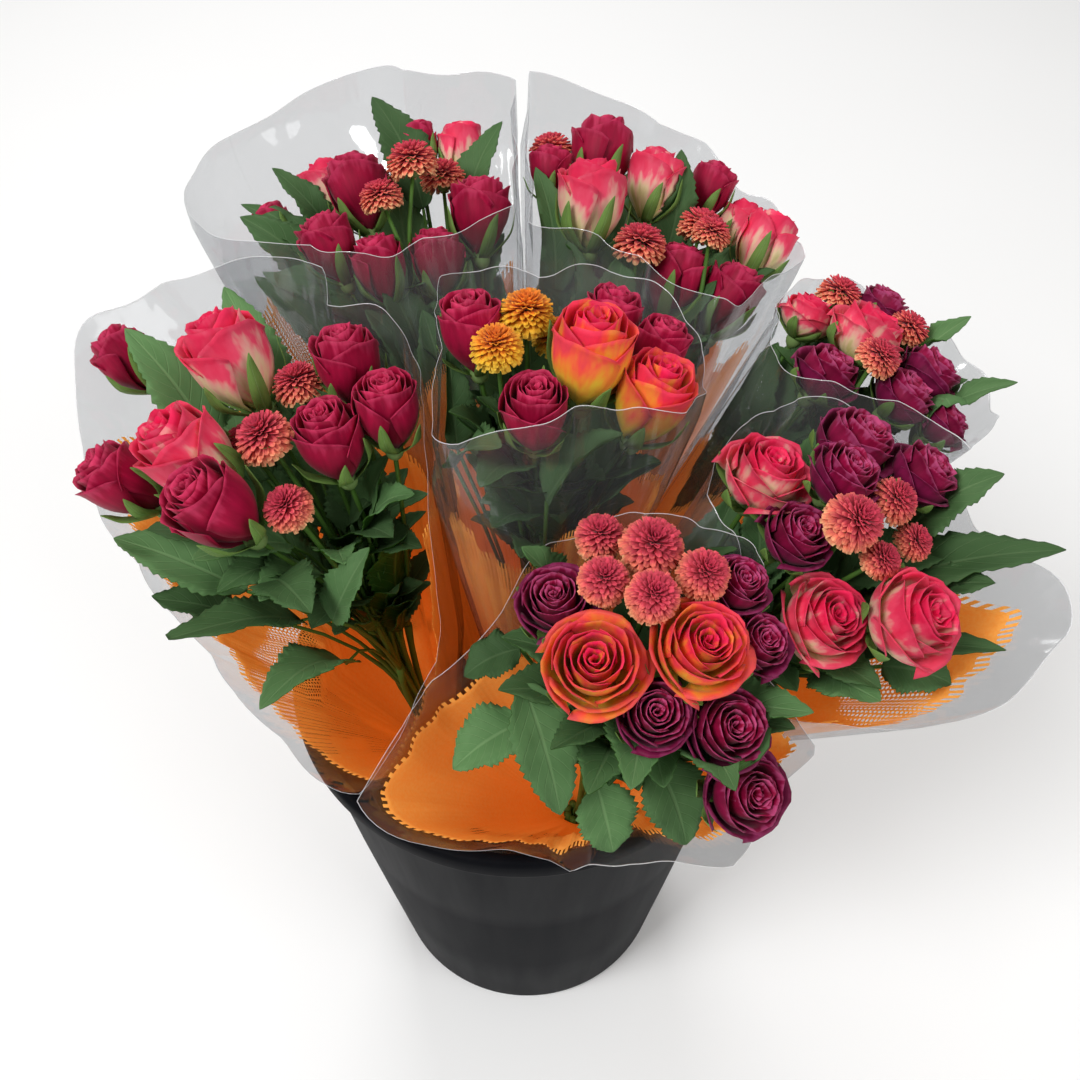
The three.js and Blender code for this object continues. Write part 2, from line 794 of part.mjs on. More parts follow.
/** Adds a solid to the group as a named mesh. */
function addNode(name, solid, { colour, roughness, opacity = 1 }) {
  const { vertProperties, triVerts, numProp } = wholeOf(solid.simplify(SLIVER)).getMesh();
  const places = [];
  for (let i = 0; i < vertProperties.length; i += numProp) {
    places.push(vertProperties[i], vertProperties[i + 1], vertProperties[i + 2]);
  }
  const geometry = new THREE.BufferGeometry();
  geometry.setAttribute("position", new THREE.BufferAttribute(new Float32Array(places), 3));
  geometry.setIndex(Array.from(triVerts));
  geometry.computeVertexNormals();
  const material = new THREE.MeshStandardMaterial({
    color: colour,
    roughness,
    metalness: 0,
    transparent: opacity < 1,
    opacity,
  });
  const mesh = new THREE.Mesh(geometry, material);
  mesh.name = name;
  group.add(mesh);
}

/** A sheet of film or net round a bunch, from its collar to an edge. */
function sheetOf(bunch, insets, levelsAt) {
  const columns = Array.from({ length: SHEET_SIDES }, (_, i) => {
    const angle = 2 * HALF_STEP * i;
    const levels = levelsAt(angle, i);
    const at = (z, extra) => {
      const [ax, ay] = middleAt(bunch, z);
      const inset = z > COLLAR.top ? insets.above : insets.neck;
      const reach = filmReach(bunch, angle, z) - inset - extra;
      return vec(ax + Math.cos(angle) * reach, ay + Math.sin(angle) * reach, z);
    };
    const outside = levels.map((z) => at(z, 0));
    const inside = levels.map((z) => at(z, SHEET)).reverse();
    return [...outside, ...inside];
  });
  return shellOf(columns);
}

/** A prism round the bundle's line, which leans from its foot up to the collar. */
function leaningPrism(outline, bunch, levels) {
  const rings = levels.map((z) => {
    const [x, y] = bundleAt(bunch, z);
    return outline.map((point) => vec(point.x + x, point.y + y, z));
  });
  const [foot, head] = [levels[0], levels[levels.length - 1]].map((z) => [
    vec(...bundleAt(bunch, z), z),
  ]);
  return stackOf([foot, ...rings, head]);
}

/** The middle of the bundle of stems below the collar, at a height. */
function bundleAt(bunch, z) {
  const rise = Math.min((z - FOOT_LEVEL) / (COLLAR.low - FOOT_LEVEL), 1);
  return bunch.collar.map((c) => c * (FOOT_PULL + (1 - FOOT_PULL) * rise));
}


// Every spray's fork is known first, so that all stalks keep clear of it.
for (const bunch of BUNCHES) {
  bunch.forks = SPRAYS.map((kind, index) => {
    const at = forkOf(bunch, kind, index);
    const route = { points: [at], owner: `${bunch.name}_${kind}`, radius: FORK.radius };
    routes.push(route);
    return { at, route };
  });
}

/** A bloom and its stalk in one piece, every part of it grown by some room. */
function bloomOnStalk(bloom, curve, twist, room) {
  const grown = { ...bloom, radius: bloom.radius + room * BLOOM_ROOM };
  const head = bloom.kind === "mums" ? mumRings(grown, twist) : roseRings(grown, twist);
  return stackOf([...stalkRings(curve, STALK.radius + room * STALK_ROOM, STALK.steps), ...head]);
}

/** One spray: blooms on stalks that part from one fork. */
function sprayOf(bunch, kind, index) {
  const fork = bunch.forks[index].at;
  const low = fork.clone().add(vec(0, 0, -FORK.length / 2));
  const high = fork.clone().add(vec(0, 0, FORK.length / 2));
  const parts = [sweepOf(new THREE.LineCurve3(low, high), FORK.radius, ROD_SIDES.fork, 1)];
  const own = bunch.blooms.filter((bloom) => bloom.kind === kind);
  for (const [k, bloom] of own.entries()) {
    const foot = kind === "mums" ? MUM.foot : ROSE.foot;
    const end = bloom.at.clone().addScaledVector(bloom.axis, bloom.radius * foot);
    const aside = vec(end.x - fork.x, end.y - fork.y, 0).setLength(FORK.radius - STALK.radius);
    const start = fork.clone().add(aside);
    const aim = end.clone().addScaledVector(bloom.axis, -STALK.straight * start.distanceTo(end));
    const curve = routeTo(bunch, start, end, aim, STALK.radius, `${bunch.name}_${kind}`, bloom);
    const twist = (k * TWIST.bloom + index * TWIST.kind) % 1;
    const body = bloomOnStalk(bloom, curve, twist, 0);
    parts.push(body);
    bunch.blockers.push({ body, room: bloomOnStalk(bloom, curve, twist, CUT_ROOM) });
  }
  return unionOf(parts);
}

/** Where the stems leave the bundle: side by side, in the order in which their goals lie round it. */
function startsTowards(bunch, goals) {
  const [cx, cy] = bunch.collar;
  const [wx, wy] = bunch.waist;
  const bearing = (goal) => Math.atan2(goal.y - (cy + wy) / 2, goal.x - (cx + wx) / 2);
  const order = goals.map((_, k) => k).sort((a, b) => bearing(goals[a]) - bearing(goals[b]));
  const first = bearing(goals[order[0]]);
  const starts = [];
  order.forEach((k, rank) => {
    const angle = first + (rank / goals.length) * 2 * Math.PI;
    const aside = vec(Math.cos(angle) * START.spread, Math.sin(angle) * START.spread, -START.depth);
    starts[k] = vec(cx, cy, COLLAR.top).add(aside);
  });
  return starts;
}

/** The bundle, the green stem under every fork, and the leaves on their own stems. */
function leafyStemsOf(bunch) {
  const outline = ringOutline(BUNDLE.points, COLLAR.radius, BUNDLE.dip);
  const parts = [leaningPrism(outline, bunch, [FOOT_LEVEL, COLLAR.low, COLLAR.top])];
  const leaves = bunch.leaves.map(([bx, by, bz, tx, ty, tz, width]) => ({
    base: heldIn(bunch, vec(bx, by, bz), LEAF_TO_FILM + LEAF.stemRoom),
    tip: heldIn(bunch, vec(tx, ty, tz), LEAF_TO_FILM),
    width,
  }));
  const goals = [...bunch.forks.map((fork) => fork.at), ...leaves.map((leaf) => leaf.base)];
  const starts = startsTowards(bunch, goals);
  for (const { at, route } of bunch.forks) {
    const top = at.clone().add(vec(0, 0, -FORK.length / 2 - FORK.gap));
    const start = starts.shift();
    const aim = vec(top.x, top.y, (start.z + top.z) / 2);
    const curve = routeTo(bunch, start, top, aim, STEM.radius, top, route);
    parts.push(sweepOf(curve, STEM.radius, ROD_SIDES.stem, STEM.steps));
  }
  for (const { base, tip, width } of leaves) {
    const start = starts.shift();
    const waist = vec(...bunch.waist.slice(0, 2), RIM_PASS.level).lerp(base, LEAF.waist);
    const aim = waist.multiplyScalar(2).sub(start.clone().lerp(base, 0.5));
    const curve = routeTo(bunch, start, base, aim, STALK.radius, base, null);
    const stem = stalkRings(curve, STALK.radius, STALK.steps);
    const blade = startedLike(stem[stem.length - 1], leafRings(bunch, base, tip, width));
    parts.push(cutClear(stackOf([...stem, ...blade]), bunch.blockers));
  }
  return unionOf(parts);
}

/** The net's levels: collar, bucket rim and an edge of points, lower than the film's edge. */
function netLevels(bunch, angle, i) {
  const [top, peak] = bunch.net;
  const point = top + (i % 2 ? peak : -peak);
  return [COLLAR.top, RIM_PASS.level, Math.min(point, filmEdge(bunch, angle) - NET_BELOW_FILM)];
}

/** The film's levels: the tied neck, those of the net, the blooms' height, and its own edge. */
function filmLevels(bunch, angle, i) {
  const net = netLevels(bunch, angle, i);
  const edge = filmEdge(bunch, angle);
  const netTop = net[net.length - 1];
  const kink = Math.max(Math.min(bunch.head[2], edge - KINK_BELOW_EDGE), (netTop + edge) / 2);
  return [COLLAR.low, ...net, kink, edge];
}

for (const bunch of BUNCHES) {
  bunch.blockers = [];
  SPRAYS.forEach((kind, index) => {
    addNode(`${bunch.name}_${KINDS[kind]}`, sprayOf(bunch, kind, index), COLOURS[kind]);
  });
}

for (const bunch of BUNCHES) {
  addNode(`${bunch.name}_leafy_stems`, leafyStemsOf(bunch), GREEN);
  const film = sheetOf(bunch, { neck: 0, above: 0 }, (angle, i) => filmLevels(bunch, angle, i));
  addNode(`${bunch.name}_clear_sleeve`, film, FILM);
  const net = sheetOf(bunch, { neck: NET_NECK_INSET, above: NET_INSET }, (angle, i) =>
    netLevels(bunch, angle, i),
  );
  addNode(`${bunch.name}_orange_net`, net, NET);

  const inner = COLLAR.radius + NECK_GAP * 3 + SHEET * 2;
  const outer = inner + TIE.depth;
  const band = [
    [inner, 0],
    [outer, 0],
    [outer, TIE.height],
    [inner, TIE.height],
    [inner, 0],
  ];
  const tie = new THREE.LatheGeometry(
    band.map(([x, y]) => new THREE.Vector2(x / Math.cos(Math.PI / TIE.sides), y)),
    TIE.sides,
  );
  tie.rotateX(Math.PI / 2);
  tie.translate(...bunch.collar, COLLAR.low + TIE.rise);
  addNode(`${bunch.name}_tie`, solidFrom(tie), BAND);
}

// ---- Bucket and water ----

const bodySlope = (BUCKET.rimRadius - LIP.depth - BUCKET.footRadius) / (BUCKET.height - LIP.height);
const outsideAt = (z) => BUCKET.footRadius + bodySlope * z;
const insideAt = (z) => outsideAt(z) - BUCKET.wall;

/** A solid turned round the bucket's middle line from a profile of radius and height. */
function turned(profile, sides) {
  const lathe = new THREE.LatheGeometry(
    profile.map(([radius, z]) => new THREE.Vector2(radius, z)),
    sides,
  );
  lathe.rotateX(Math.PI / 2);
  return solidFrom(lathe);
}

const lipFoot = BUCKET.height - LIP.height;
const bucket = turned(
  [
    [0, 0],
    [BUCKET.footRadius - FOOT_BEVEL.across, 0],
    [outsideAt(FOOT_BEVEL.up), FOOT_BEVEL.up],
    [outsideAt(lipFoot), lipFoot],
    [BUCKET.rimRadius, lipFoot + LIP.bevel],
    [BUCKET.rimRadius, BUCKET.height - LIP.bevel],
    [BUCKET.rimRadius - LIP.bevel, BUCKET.height],
    [LIP.inner, BUCKET.height],
    [insideAt(lipFoot), lipFoot],
    [insideAt(BUCKET.floor), BUCKET.floor],
    [0, BUCKET.floor],
  ],
  BUCKET.sides,
);
addNode("bucket", bucket, BLACK);

let water = turned(
  [
    [0, FOOT_LEVEL],
    [insideAt(FOOT_LEVEL) - WATER.wallGap, FOOT_LEVEL],
    [insideAt(WATER.level) - WATER.wallGap, WATER.level],
    [0, WATER.level],
  ],
  BUCKET.sides,
);
for (const bunch of BUNCHES) {
  const outline = ringOutline(BUNDLE.holeSides, COLLAR.radius + BUNDLE.holeRoom, 0);
  const levels = [FOOT_LEVEL - WATER.cutPast, WATER.level + WATER.cutPast];
  water = water.subtract(leaningPrism(outline, bunch, levels));
}
addNode("water", water, CLEAR_WATER);

export default group;
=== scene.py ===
# %% [markdown]
# # A florist's bucket of sleeved bouquets
# Seven bunches of spray roses and spray chrysanthemums stand in one black bucket. Each bunch is
# wrapped in orange net and slipped into a clear film sleeve. This lesson dresses the packed
# solids: every plain spray, leaf, net and film is replaced by a finer one that keeps its place.

# %% Load the frame
import math
import random

import bmesh
import bpy
import numpy as np
from mathutils import Matrix, Vector


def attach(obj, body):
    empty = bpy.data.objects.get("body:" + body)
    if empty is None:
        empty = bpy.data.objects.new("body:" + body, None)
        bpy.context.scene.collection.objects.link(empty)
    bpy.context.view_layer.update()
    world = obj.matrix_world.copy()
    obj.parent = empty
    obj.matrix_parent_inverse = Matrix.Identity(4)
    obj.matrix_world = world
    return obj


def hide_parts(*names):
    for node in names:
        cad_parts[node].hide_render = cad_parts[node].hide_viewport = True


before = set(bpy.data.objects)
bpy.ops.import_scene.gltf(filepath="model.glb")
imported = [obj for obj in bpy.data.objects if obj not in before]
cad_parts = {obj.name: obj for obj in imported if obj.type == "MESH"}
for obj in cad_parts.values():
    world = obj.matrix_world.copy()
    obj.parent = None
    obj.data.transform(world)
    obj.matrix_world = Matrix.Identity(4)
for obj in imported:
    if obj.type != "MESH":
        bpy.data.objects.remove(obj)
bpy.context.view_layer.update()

MM = 0.001
FULL_TURN = 2 * math.pi
UP = Vector((0, 0, 1))

# %% [markdown]
# ## Camera, floor and light
# The photograph looks down on the bucket at 48 degrees. A fixed camera with the same angle of view
# is enough; no depth of field is used, so that other views stay sharp. The floor is a plain pale
# plane and the light comes from three large soft lamps, as in a small studio. The clear films lie
# over each other, so light may pass through more layers than Blender allows at first.

# %% Camera
VIEW_DOWN = math.radians(48)
CAMERA_PLACE = Vector((10.4, -426.4, 900.7)) * MM
FOCAL_PIXELS, IMAGE_PIXELS, SENSOR = 1100, 1080, 36

camera_data = bpy.data.cameras.new("camera")
camera_data.sensor_width = SENSOR
camera_data.lens = SENSOR * FOCAL_PIXELS / IMAGE_PIXELS
camera = bpy.data.objects.new("camera", camera_data)
camera.location = CAMERA_PLACE
camera.rotation_euler = (math.radians(90) - VIEW_DOWN, 0, 0)
bpy.context.scene.collection.objects.link(camera)
bpy.context.scene.camera = camera
print("lens, mm:", round(camera_data.lens, 2))

# %% Lamps
MIDDLE_OF_FLOWERS = Vector((0, 0, 0.4))
LAMPS = {
    # place and size in metres, power in watts
    "key_lamp": ((-1.7, -1.3, 3.0), 1.2, 72),
    "fill_lamp": ((2.2, -1.6, 2.2), 1.8, 30),
    "back_lamp": ((-0.4, 2.4, 2.6), 1.4, 36),
}
SKY_COLOUR, SKY_STRENGTH = (1, 0.99, 0.97, 1), 0.42
MOST_LAYERS_SEEN_THROUGH = 48


def soft_lamp(name, place, size, power):
    """A square lamp that looks at the middle of the flowers."""
    data = bpy.data.lights.new(name, "AREA")
    data.size = size
    data.energy = power
    lamp = bpy.data.objects.new(name, data)
    lamp.location = place
    lamp.rotation_euler = (MIDDLE_OF_FLOWERS - Vector(place)).to_track_quat("-Z", "Y").to_euler()
    bpy.context.scene.collection.objects.link(lamp)


for name, (place, size, power) in LAMPS.items():
    soft_lamp(name, place, size, power)

world = bpy.data.worlds.new("studio")
world.use_nodes = True
sky = world.node_tree.nodes["Background"].inputs
sky["Color"].default_value = SKY_COLOUR
sky["Strength"].default_value = SKY_STRENGTH
bpy.context.scene.world = world
bpy.context.scene.view_settings.view_transform = "Standard"
bpy.context.scene.cycles.transparent_max_bounces = MOST_LAYERS_SEEN_THROUGH
print("lamps:", len(LAMPS))

# %% [markdown]
# ## Small helpers for meshes
# Every piece is drawn in millimetres in a bmesh and scaled to metres once, when it is finished.
# Each vertex carries a colour attribute called tone. It is not a colour: it says how far along a
# petal or leaf the vertex lies, how far across, in which layer, and a random number for that petal.
# The materials read it, so their patterns follow the surface.

# %% Grids: petals, leaves and sheets
def new_mesh():
    """An empty bmesh with the tone attribute."""
    bm = bmesh.new()
    bm.verts.layers.float_color.new("tone")
    return bm


def grid(bm, across, along, place, tone, material=0):
    """A flat grid of which every vertex (u from -1 to 1, v from 0 to 1) is moved by place(u, v)."""
    made = bmesh.ops.create_grid(bm, x_segments=across, y_segments=along, size=1)["verts"]
    layer = bm.verts.layers.float_color["tone"]
    faces = set()
    for vert in made:
        u, v = vert.co.x, (vert.co.y + 1) / 2
        vert.co = place(u, v)
        vert[layer] = tone(u, v)
        faces.update(vert.link_faces)
    for face in faces:
        face.material_index = material


sample = new_mesh()
grid(sample, 2, 3, lambda u, v: Vector((u, v, 0)), lambda u, v: (v, u, 0, 0))
print("faces of a grid of 2 by 3:", len(sample.faces))
sample.free()

# %% Rods: stems
STEM_TONE = (0.5, 0, 0.5)


def rod(bm, points, radii, sides):
    """A round stem along points: a circle at each point, each pair joined by a bridge."""
    layer = bm.verts.layers.float_color["tone"]
    last = len(points) - 1
    before = None
    for k, point in enumerate(points):
        ahead = points[min(k + 1, last)] - points[max(k - 1, 0)]
        turn = UP.rotation_difference(ahead.normalized()).to_matrix().to_4x4()
        ring = bmesh.ops.create_circle(
            bm, cap_ends=k in (0, last), segments=sides, radius=radii[k],
            matrix=Matrix.Translation(point) @ turn,
        )["verts"]
        for vert in ring:
            vert[layer] = (k / last, *STEM_TONE)
        edges = {edge for vert in ring for edge in vert.link_edges if edge.other_vert(vert) in ring}
        if before:
            bmesh.ops.bridge_loops(bm, edges=list(before | edges))
        before = edges


sample = new_mesh()
rod(sample, [Vector((0, 0, z)) for z in (0, 10, 20)], [2, 2, 1], 6)
print("faces of a six-sided rod with three rings:", len(sample.faces))
sample.free()

# %% Finished pieces
def finished(bm, name, materials, nodes, thick=None, back=0, outward=True):
    """Makes a piece of the bmesh, in metres, and hides the CAD nodes that it stands for.

    A thin piece gets its thickness in millimetres from a modifier, and its underside may take
    the material that comes back places later in the list.
    """
    if outward:
        bmesh.ops.recalc_face_normals(bm, faces=bm.faces)
    bmesh.ops.scale(bm, vec=(MM, MM, MM), verts=bm.verts)
    mesh = bpy.data.meshes.new(name)
    bm.to_mesh(mesh)
    bm.free()
    mesh.shade_smooth()
    for material in materials:
        mesh.materials.append(material)
    piece = bpy.data.objects.new(name, mesh)
    bpy.context.scene.collection.objects.link(piece)
    if thick:
        solid = piece.modifiers.new("thickness", "SOLIDIFY")
        solid.thickness = thick * MM
        solid.offset = 0
        solid.material_offset = back
    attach(piece, "root")
    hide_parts(*nodes)
    return piece


def soft_step(x, low, high):
    """0 below low, 1 above high, and a smooth rise between."""
    t = min(max((x - low) / (high - low), 0), 1)
    return t * t * (3 - 2 * t)


print("a soft step at a quarter of its rise:", soft_step(0.25, 0, 1))

# %% [markdown]
# ## Materials
# A petal is velvety: a soft sheen over a colour that changes from its foot to its rim and is
# streaked along its length. One recipe, a ramp along the petal with streaks of noise, serves
# petals and florets, with other colours and other streaks; leaves get one like it. It reads only
# the tone attribute, so it sits on the petal wherever the petal goes.

# %% Node helpers
def make_material(name):
    """A new material with its node tree, its Principled shader and a function that adds nodes."""
    material = bpy.data.materials.new(name)
    material.use_nodes = True
    tree = material.node_tree
    shader = tree.nodes["Principled BSDF"]

    def add(kind, links=None, **settings):
        node = tree.nodes.new(kind)
        for key, value in settings.items():
            setattr(node, key, value)
        for socket, source in (links or {}).items():
            if isinstance(source, bpy.types.NodeSocket):
                tree.links.new(source, node.inputs[socket])
            else:
                node.inputs[socket].default_value = source
        return node

    return material, tree, shader, add


def calc(add, operation, *values):
    """One step of arithmetic on sockets and numbers."""
    return add("ShaderNodeMath", dict(enumerate(values)), operation=operation).outputs[0]


def ranged(add, value, start, end):
    """A value moved from the span start to the span end, each a (low, high)."""
    spans = {"From Min": start[0], "From Max": start[1], "To Min": end[0], "To Max": end[1]}
    return add("ShaderNodeMapRange", {"Value": value, **spans}).outputs[0]


def mixed(add, factor, a, b, blend="MIX"):
    """Two colours mixed by a factor."""
    node = add("ShaderNodeMix", {0: factor, 6: a, 7: b}, data_type="RGBA", blend_type=blend)
    return node.outputs[2]


def shaded(add, colour, amount):
    """A colour made darker or lighter by an amount."""
    grey = add("ShaderNodeCombineColor", {"Red": amount, "Green": amount, "Blue": amount}).outputs[0]
    return mixed(add, 1.0, colour, grey, "MULTIPLY")


def ramp(add, factor, stops):
    """A colour ramp of (place, colour) stops."""
    node = add("ShaderNodeValToRGB", {"Fac": factor})
    elements = node.color_ramp.elements
    while len(elements) < len(stops):
        elements.new(0.5)
    for element, (place, colour) in zip(elements, stops):
        element.position = place
        element.color = (*colour, 1)
    return node.outputs["Color"]


print("node helpers: calc, ranged, mixed, shaded, ramp")

# %% Patterns
NOISE_SPAN = (0.3, 0.7)
PETALS_APART = 40.0


def own_place(add):
    """The place of a point on its piece, which stays when the piece is looked at from elsewhere."""
    return add("ShaderNodeTexCoord").outputs["Object"]


def noise(add, place, scale, detail=2.0):
    """Soft noise, mostly within NOISE_SPAN."""
    return add("ShaderNodeTexNoise", {"Vector": place, "Scale": scale, "Detail": detail}).outputs["Fac"]


def raised(add, height, strength, distance, **settings):
    """Normals for a small relief."""
    values = {"Height": height, "Strength": strength, "Distance": distance}
    return add("ShaderNodeBump", values, **settings).outputs[0]


def tone_of(add):
    """The tone attribute's four numbers: along, across, layer, chance."""
    attribute = add("ShaderNodeAttribute", attribute_name="tone")
    parts = add("ShaderNodeSeparateColor", {"Color": attribute.outputs["Color"]}).outputs
    return parts["Red"], parts["Green"], parts["Blue"], attribute.outputs["Alpha"]


def streaks(add, along, across, chance, fine, long):
    """Noise drawn out along a petal, another for each petal."""
    place = add("ShaderNodeCombineXYZ", {
        "X": calc(add, "MULTIPLY", across, fine),
        "Y": calc(add, "MULTIPLY", along, long),
        "Z": calc(add, "MULTIPLY", chance, PETALS_APART),
    }).outputs[0]
    return noise(add, place, 1.0, 3.0)


print("noise span:", NOISE_SPAN, "noise between two petals, up to:", PETALS_APART)

# %% Petal materials
STREAK_LENGTH = 1.6
STREAK_LIGHT = (0.78, 1.14)
PETAL_LIGHT = (0.82, 1.16)


def petal_material(name, stops, outer, outer_share, streak=0.16, rough=0.55, fine=9, bump=0.25):
    """Petals: a ramp from foot to rim, another tint on the outer layers, streaks and a soft sheen."""
    material, tree, shader, add = make_material(name)
    along, across, layer, chance = tone_of(add)
    grain = streaks(add, along, across, chance, fine, STREAK_LENGTH)
    shift = ranged(add, grain, NOISE_SPAN, (-streak, streak))
    colour = ramp(add, calc(add, "ADD", along, shift), stops)
    colour = mixed(add, calc(add, "MULTIPLY", layer, outer_share), colour, (*outer, 1))
    streak_light = ranged(add, grain, NOISE_SPAN, STREAK_LIGHT)
    petal_light = ranged(add, chance, (0, 1), PETAL_LIGHT)
    colour = shaded(add, colour, calc(add, "MULTIPLY", streak_light, petal_light))
    tree.links.new(colour, shader.inputs["Base Color"])
    shader.inputs["Roughness"].default_value = rough
    shader.inputs["Sheen Weight"].default_value = 0.06
    shader.inputs["Sheen Roughness"].default_value = 0.4
    shader.inputs["Specular IOR Level"].default_value = 0.15
    tree.links.new(raised(add, grain, bump, 0.0006), shader.inputs["Normal"])
    return material


# the last stop is a painted highlight: the rolled rim is drawn lighter, as though lit
crimson = petal_material(
    "crimson_petal",
    [(0.0, (0.36, 0.03, 0.07)), (0.3, (0.26, 0.001, 0.026)), (0.85, (0.40, 0.003, 0.044)),
     (1.0, (0.54, 0.03, 0.10))],
    (0.28, 0.003, 0.036), 0.6,
)
# the last stop is a painted highlight: the rolled rim is drawn lighter, as though lit
plum = petal_material(
    "plum_petal",
    [(0.0, (0.12, 0.002, 0.02)), (0.5, (0.26, 0.001, 0.030)), (0.9, (0.32, 0.002, 0.045)),
     (1.0, (0.46, 0.06, 0.17))],
    (0.15, 0.008, 0.060), 0.8,
)
fiery = petal_material(
    "yellow_and_red_petal",
    [(0.0, (0.80, 0.72, 0.10)), (0.40, (0.99, 0.62, 0.05)), (0.60, (0.98, 0.30, 0.040)),
     (0.82, (0.92, 0.065, 0.060)), (1.0, (0.72, 0.012, 0.08))],
    (1.0, 0.46, 0.06), 0.16, streak=0.30, rough=0.5, fine=5,
)
rosy = petal_material(
    "cream_and_pink_petal",
    [(0.0, (0.78, 0.78, 0.26)), (0.34, (0.97, 0.78, 0.46)), (0.54, (0.96, 0.44, 0.38)),
     (0.72, (0.90, 0.060, 0.150)), (1.0, (0.72, 0.008, 0.075))],
    (0.94, 0.34, 0.32), 0.15, streak=0.36, rough=0.5, fine=5,
)
bronze = petal_material(
    "bronze_floret",
    [(0.0, (0.34, 0.010, 0.04)), (0.45, (0.64, 0.045, 0.10)), (0.74, (0.92, 0.22, 0.14)),
     (1.0, (1.0, 0.62, 0.30))],
    (0.96, 0.36, 0.18), 0.15, streak=0.08, rough=0.7, fine=3, bump=0.1,
)
yellow = petal_material(
    "yellow_floret",
    [(0.0, (0.55, 0.05, 0.01)), (0.4, (0.85, 0.22, 0.02)), (0.7, (0.95, 0.52, 0.03)),
     (1.0, (0.97, 0.68, 0.10))],
    (0.92, 0.55, 0.05), 0.3, streak=0.08, rough=0.7, fine=3, bump=0.1,
)
print("petal materials:", [m.name for m in (crimson, plum, fiery, rosy, bronze, yellow)])

# %% [markdown]
# ## Greens
# A rose leaf has a pale rib and side veins that leave it at a slant. The rib is where the leaf's
# middle is near, and the veins are the crests of a wave along lines that lean from the rib, so
# no picture is needed. The same recipe with paler colours serves undersides, sepals and stems.

# %% Leaf materials
VEIN_LEAN, VEIN_WAVES, VEIN_SHARE = -0.55, 56.0, 0.45
LEAF_LIGHT = (0.5, 1.25)


def green_material(name, deep, light, vein, rough):
    """Leaves: a pale rib and side veins on a green that varies in soft patches."""
    material, tree, shader, add = make_material(name)
    along, across, layer, chance = tone_of(add)
    patches = streaks(add, along, across, chance, 3.0, 3.0)
    colour = mixed(add, patches, (*deep, 1), (*light, 1))
    aside = calc(add, "ABSOLUTE", calc(add, "SUBTRACT", across, 0.5))
    rib = ranged(add, aside, (0.012, 0.035), (1.0, 0.0))
    slant = calc(add, "MULTIPLY_ADD", aside, VEIN_LEAN, along)
    wave = calc(add, "SINE", calc(add, "MULTIPLY", slant, VEIN_WAVES))
    veins = ranged(add, wave, (0.9, 1.0), (0.0, 0.55))
    lines = calc(add, "MAXIMUM", rib, veins)
    colour = mixed(add, calc(add, "MULTIPLY", lines, VEIN_SHARE), colour, (*vein, 1))
    colour = shaded(add, colour, ranged(add, chance, (0, 1), LEAF_LIGHT))
    tree.links.new(colour, shader.inputs["Base Color"])
    shader.inputs["Roughness"].default_value = rough
    shader.inputs["Specular IOR Level"].default_value = 0.1
    tree.links.new(raised(add, lines, 0.5, 0.0006, invert=True), shader.inputs["Normal"])
    return material


leaf_top = green_material(
    "leaf_top", (0.010, 0.040, 0.005), (0.043, 0.122, 0.014), (0.11, 0.22, 0.05), 0.5)
leaf_under = green_material(
    "leaf_under", (0.06, 0.14, 0.045), (0.12, 0.23, 0.09), (0.18, 0.30, 0.13), 0.6)
sepal_green = green_material(
    "sepal_green", (0.10, 0.22, 0.035), (0.26, 0.42, 0.11), (0.34, 0.48, 0.2), 0.5)
stem_green = green_material(
    "stem_green", (0.035, 0.11, 0.015), (0.08, 0.19, 0.03), (0.1, 0.2, 0.04), 0.45)
print("green materials:", [m.name for m in (leaf_top, leaf_under, sepal_green, stem_green)])

# %% [markdown]
# ## The seven bunches
# Each bunch is given by the point where it is tied (collar), the middle of its blooms (head), and
# lists of blooms (x, y, z, width) and leaves (base, tip, width), all in millimetres, as in the
# part's source. Edge is the height of the film's rim in eight directions, from +X on round; net is
# the height of the net's edge and of its points; flaps are bearings in degrees where the film
# stands further out, and by how much; share is how much room the bunch takes beside its neighbours.

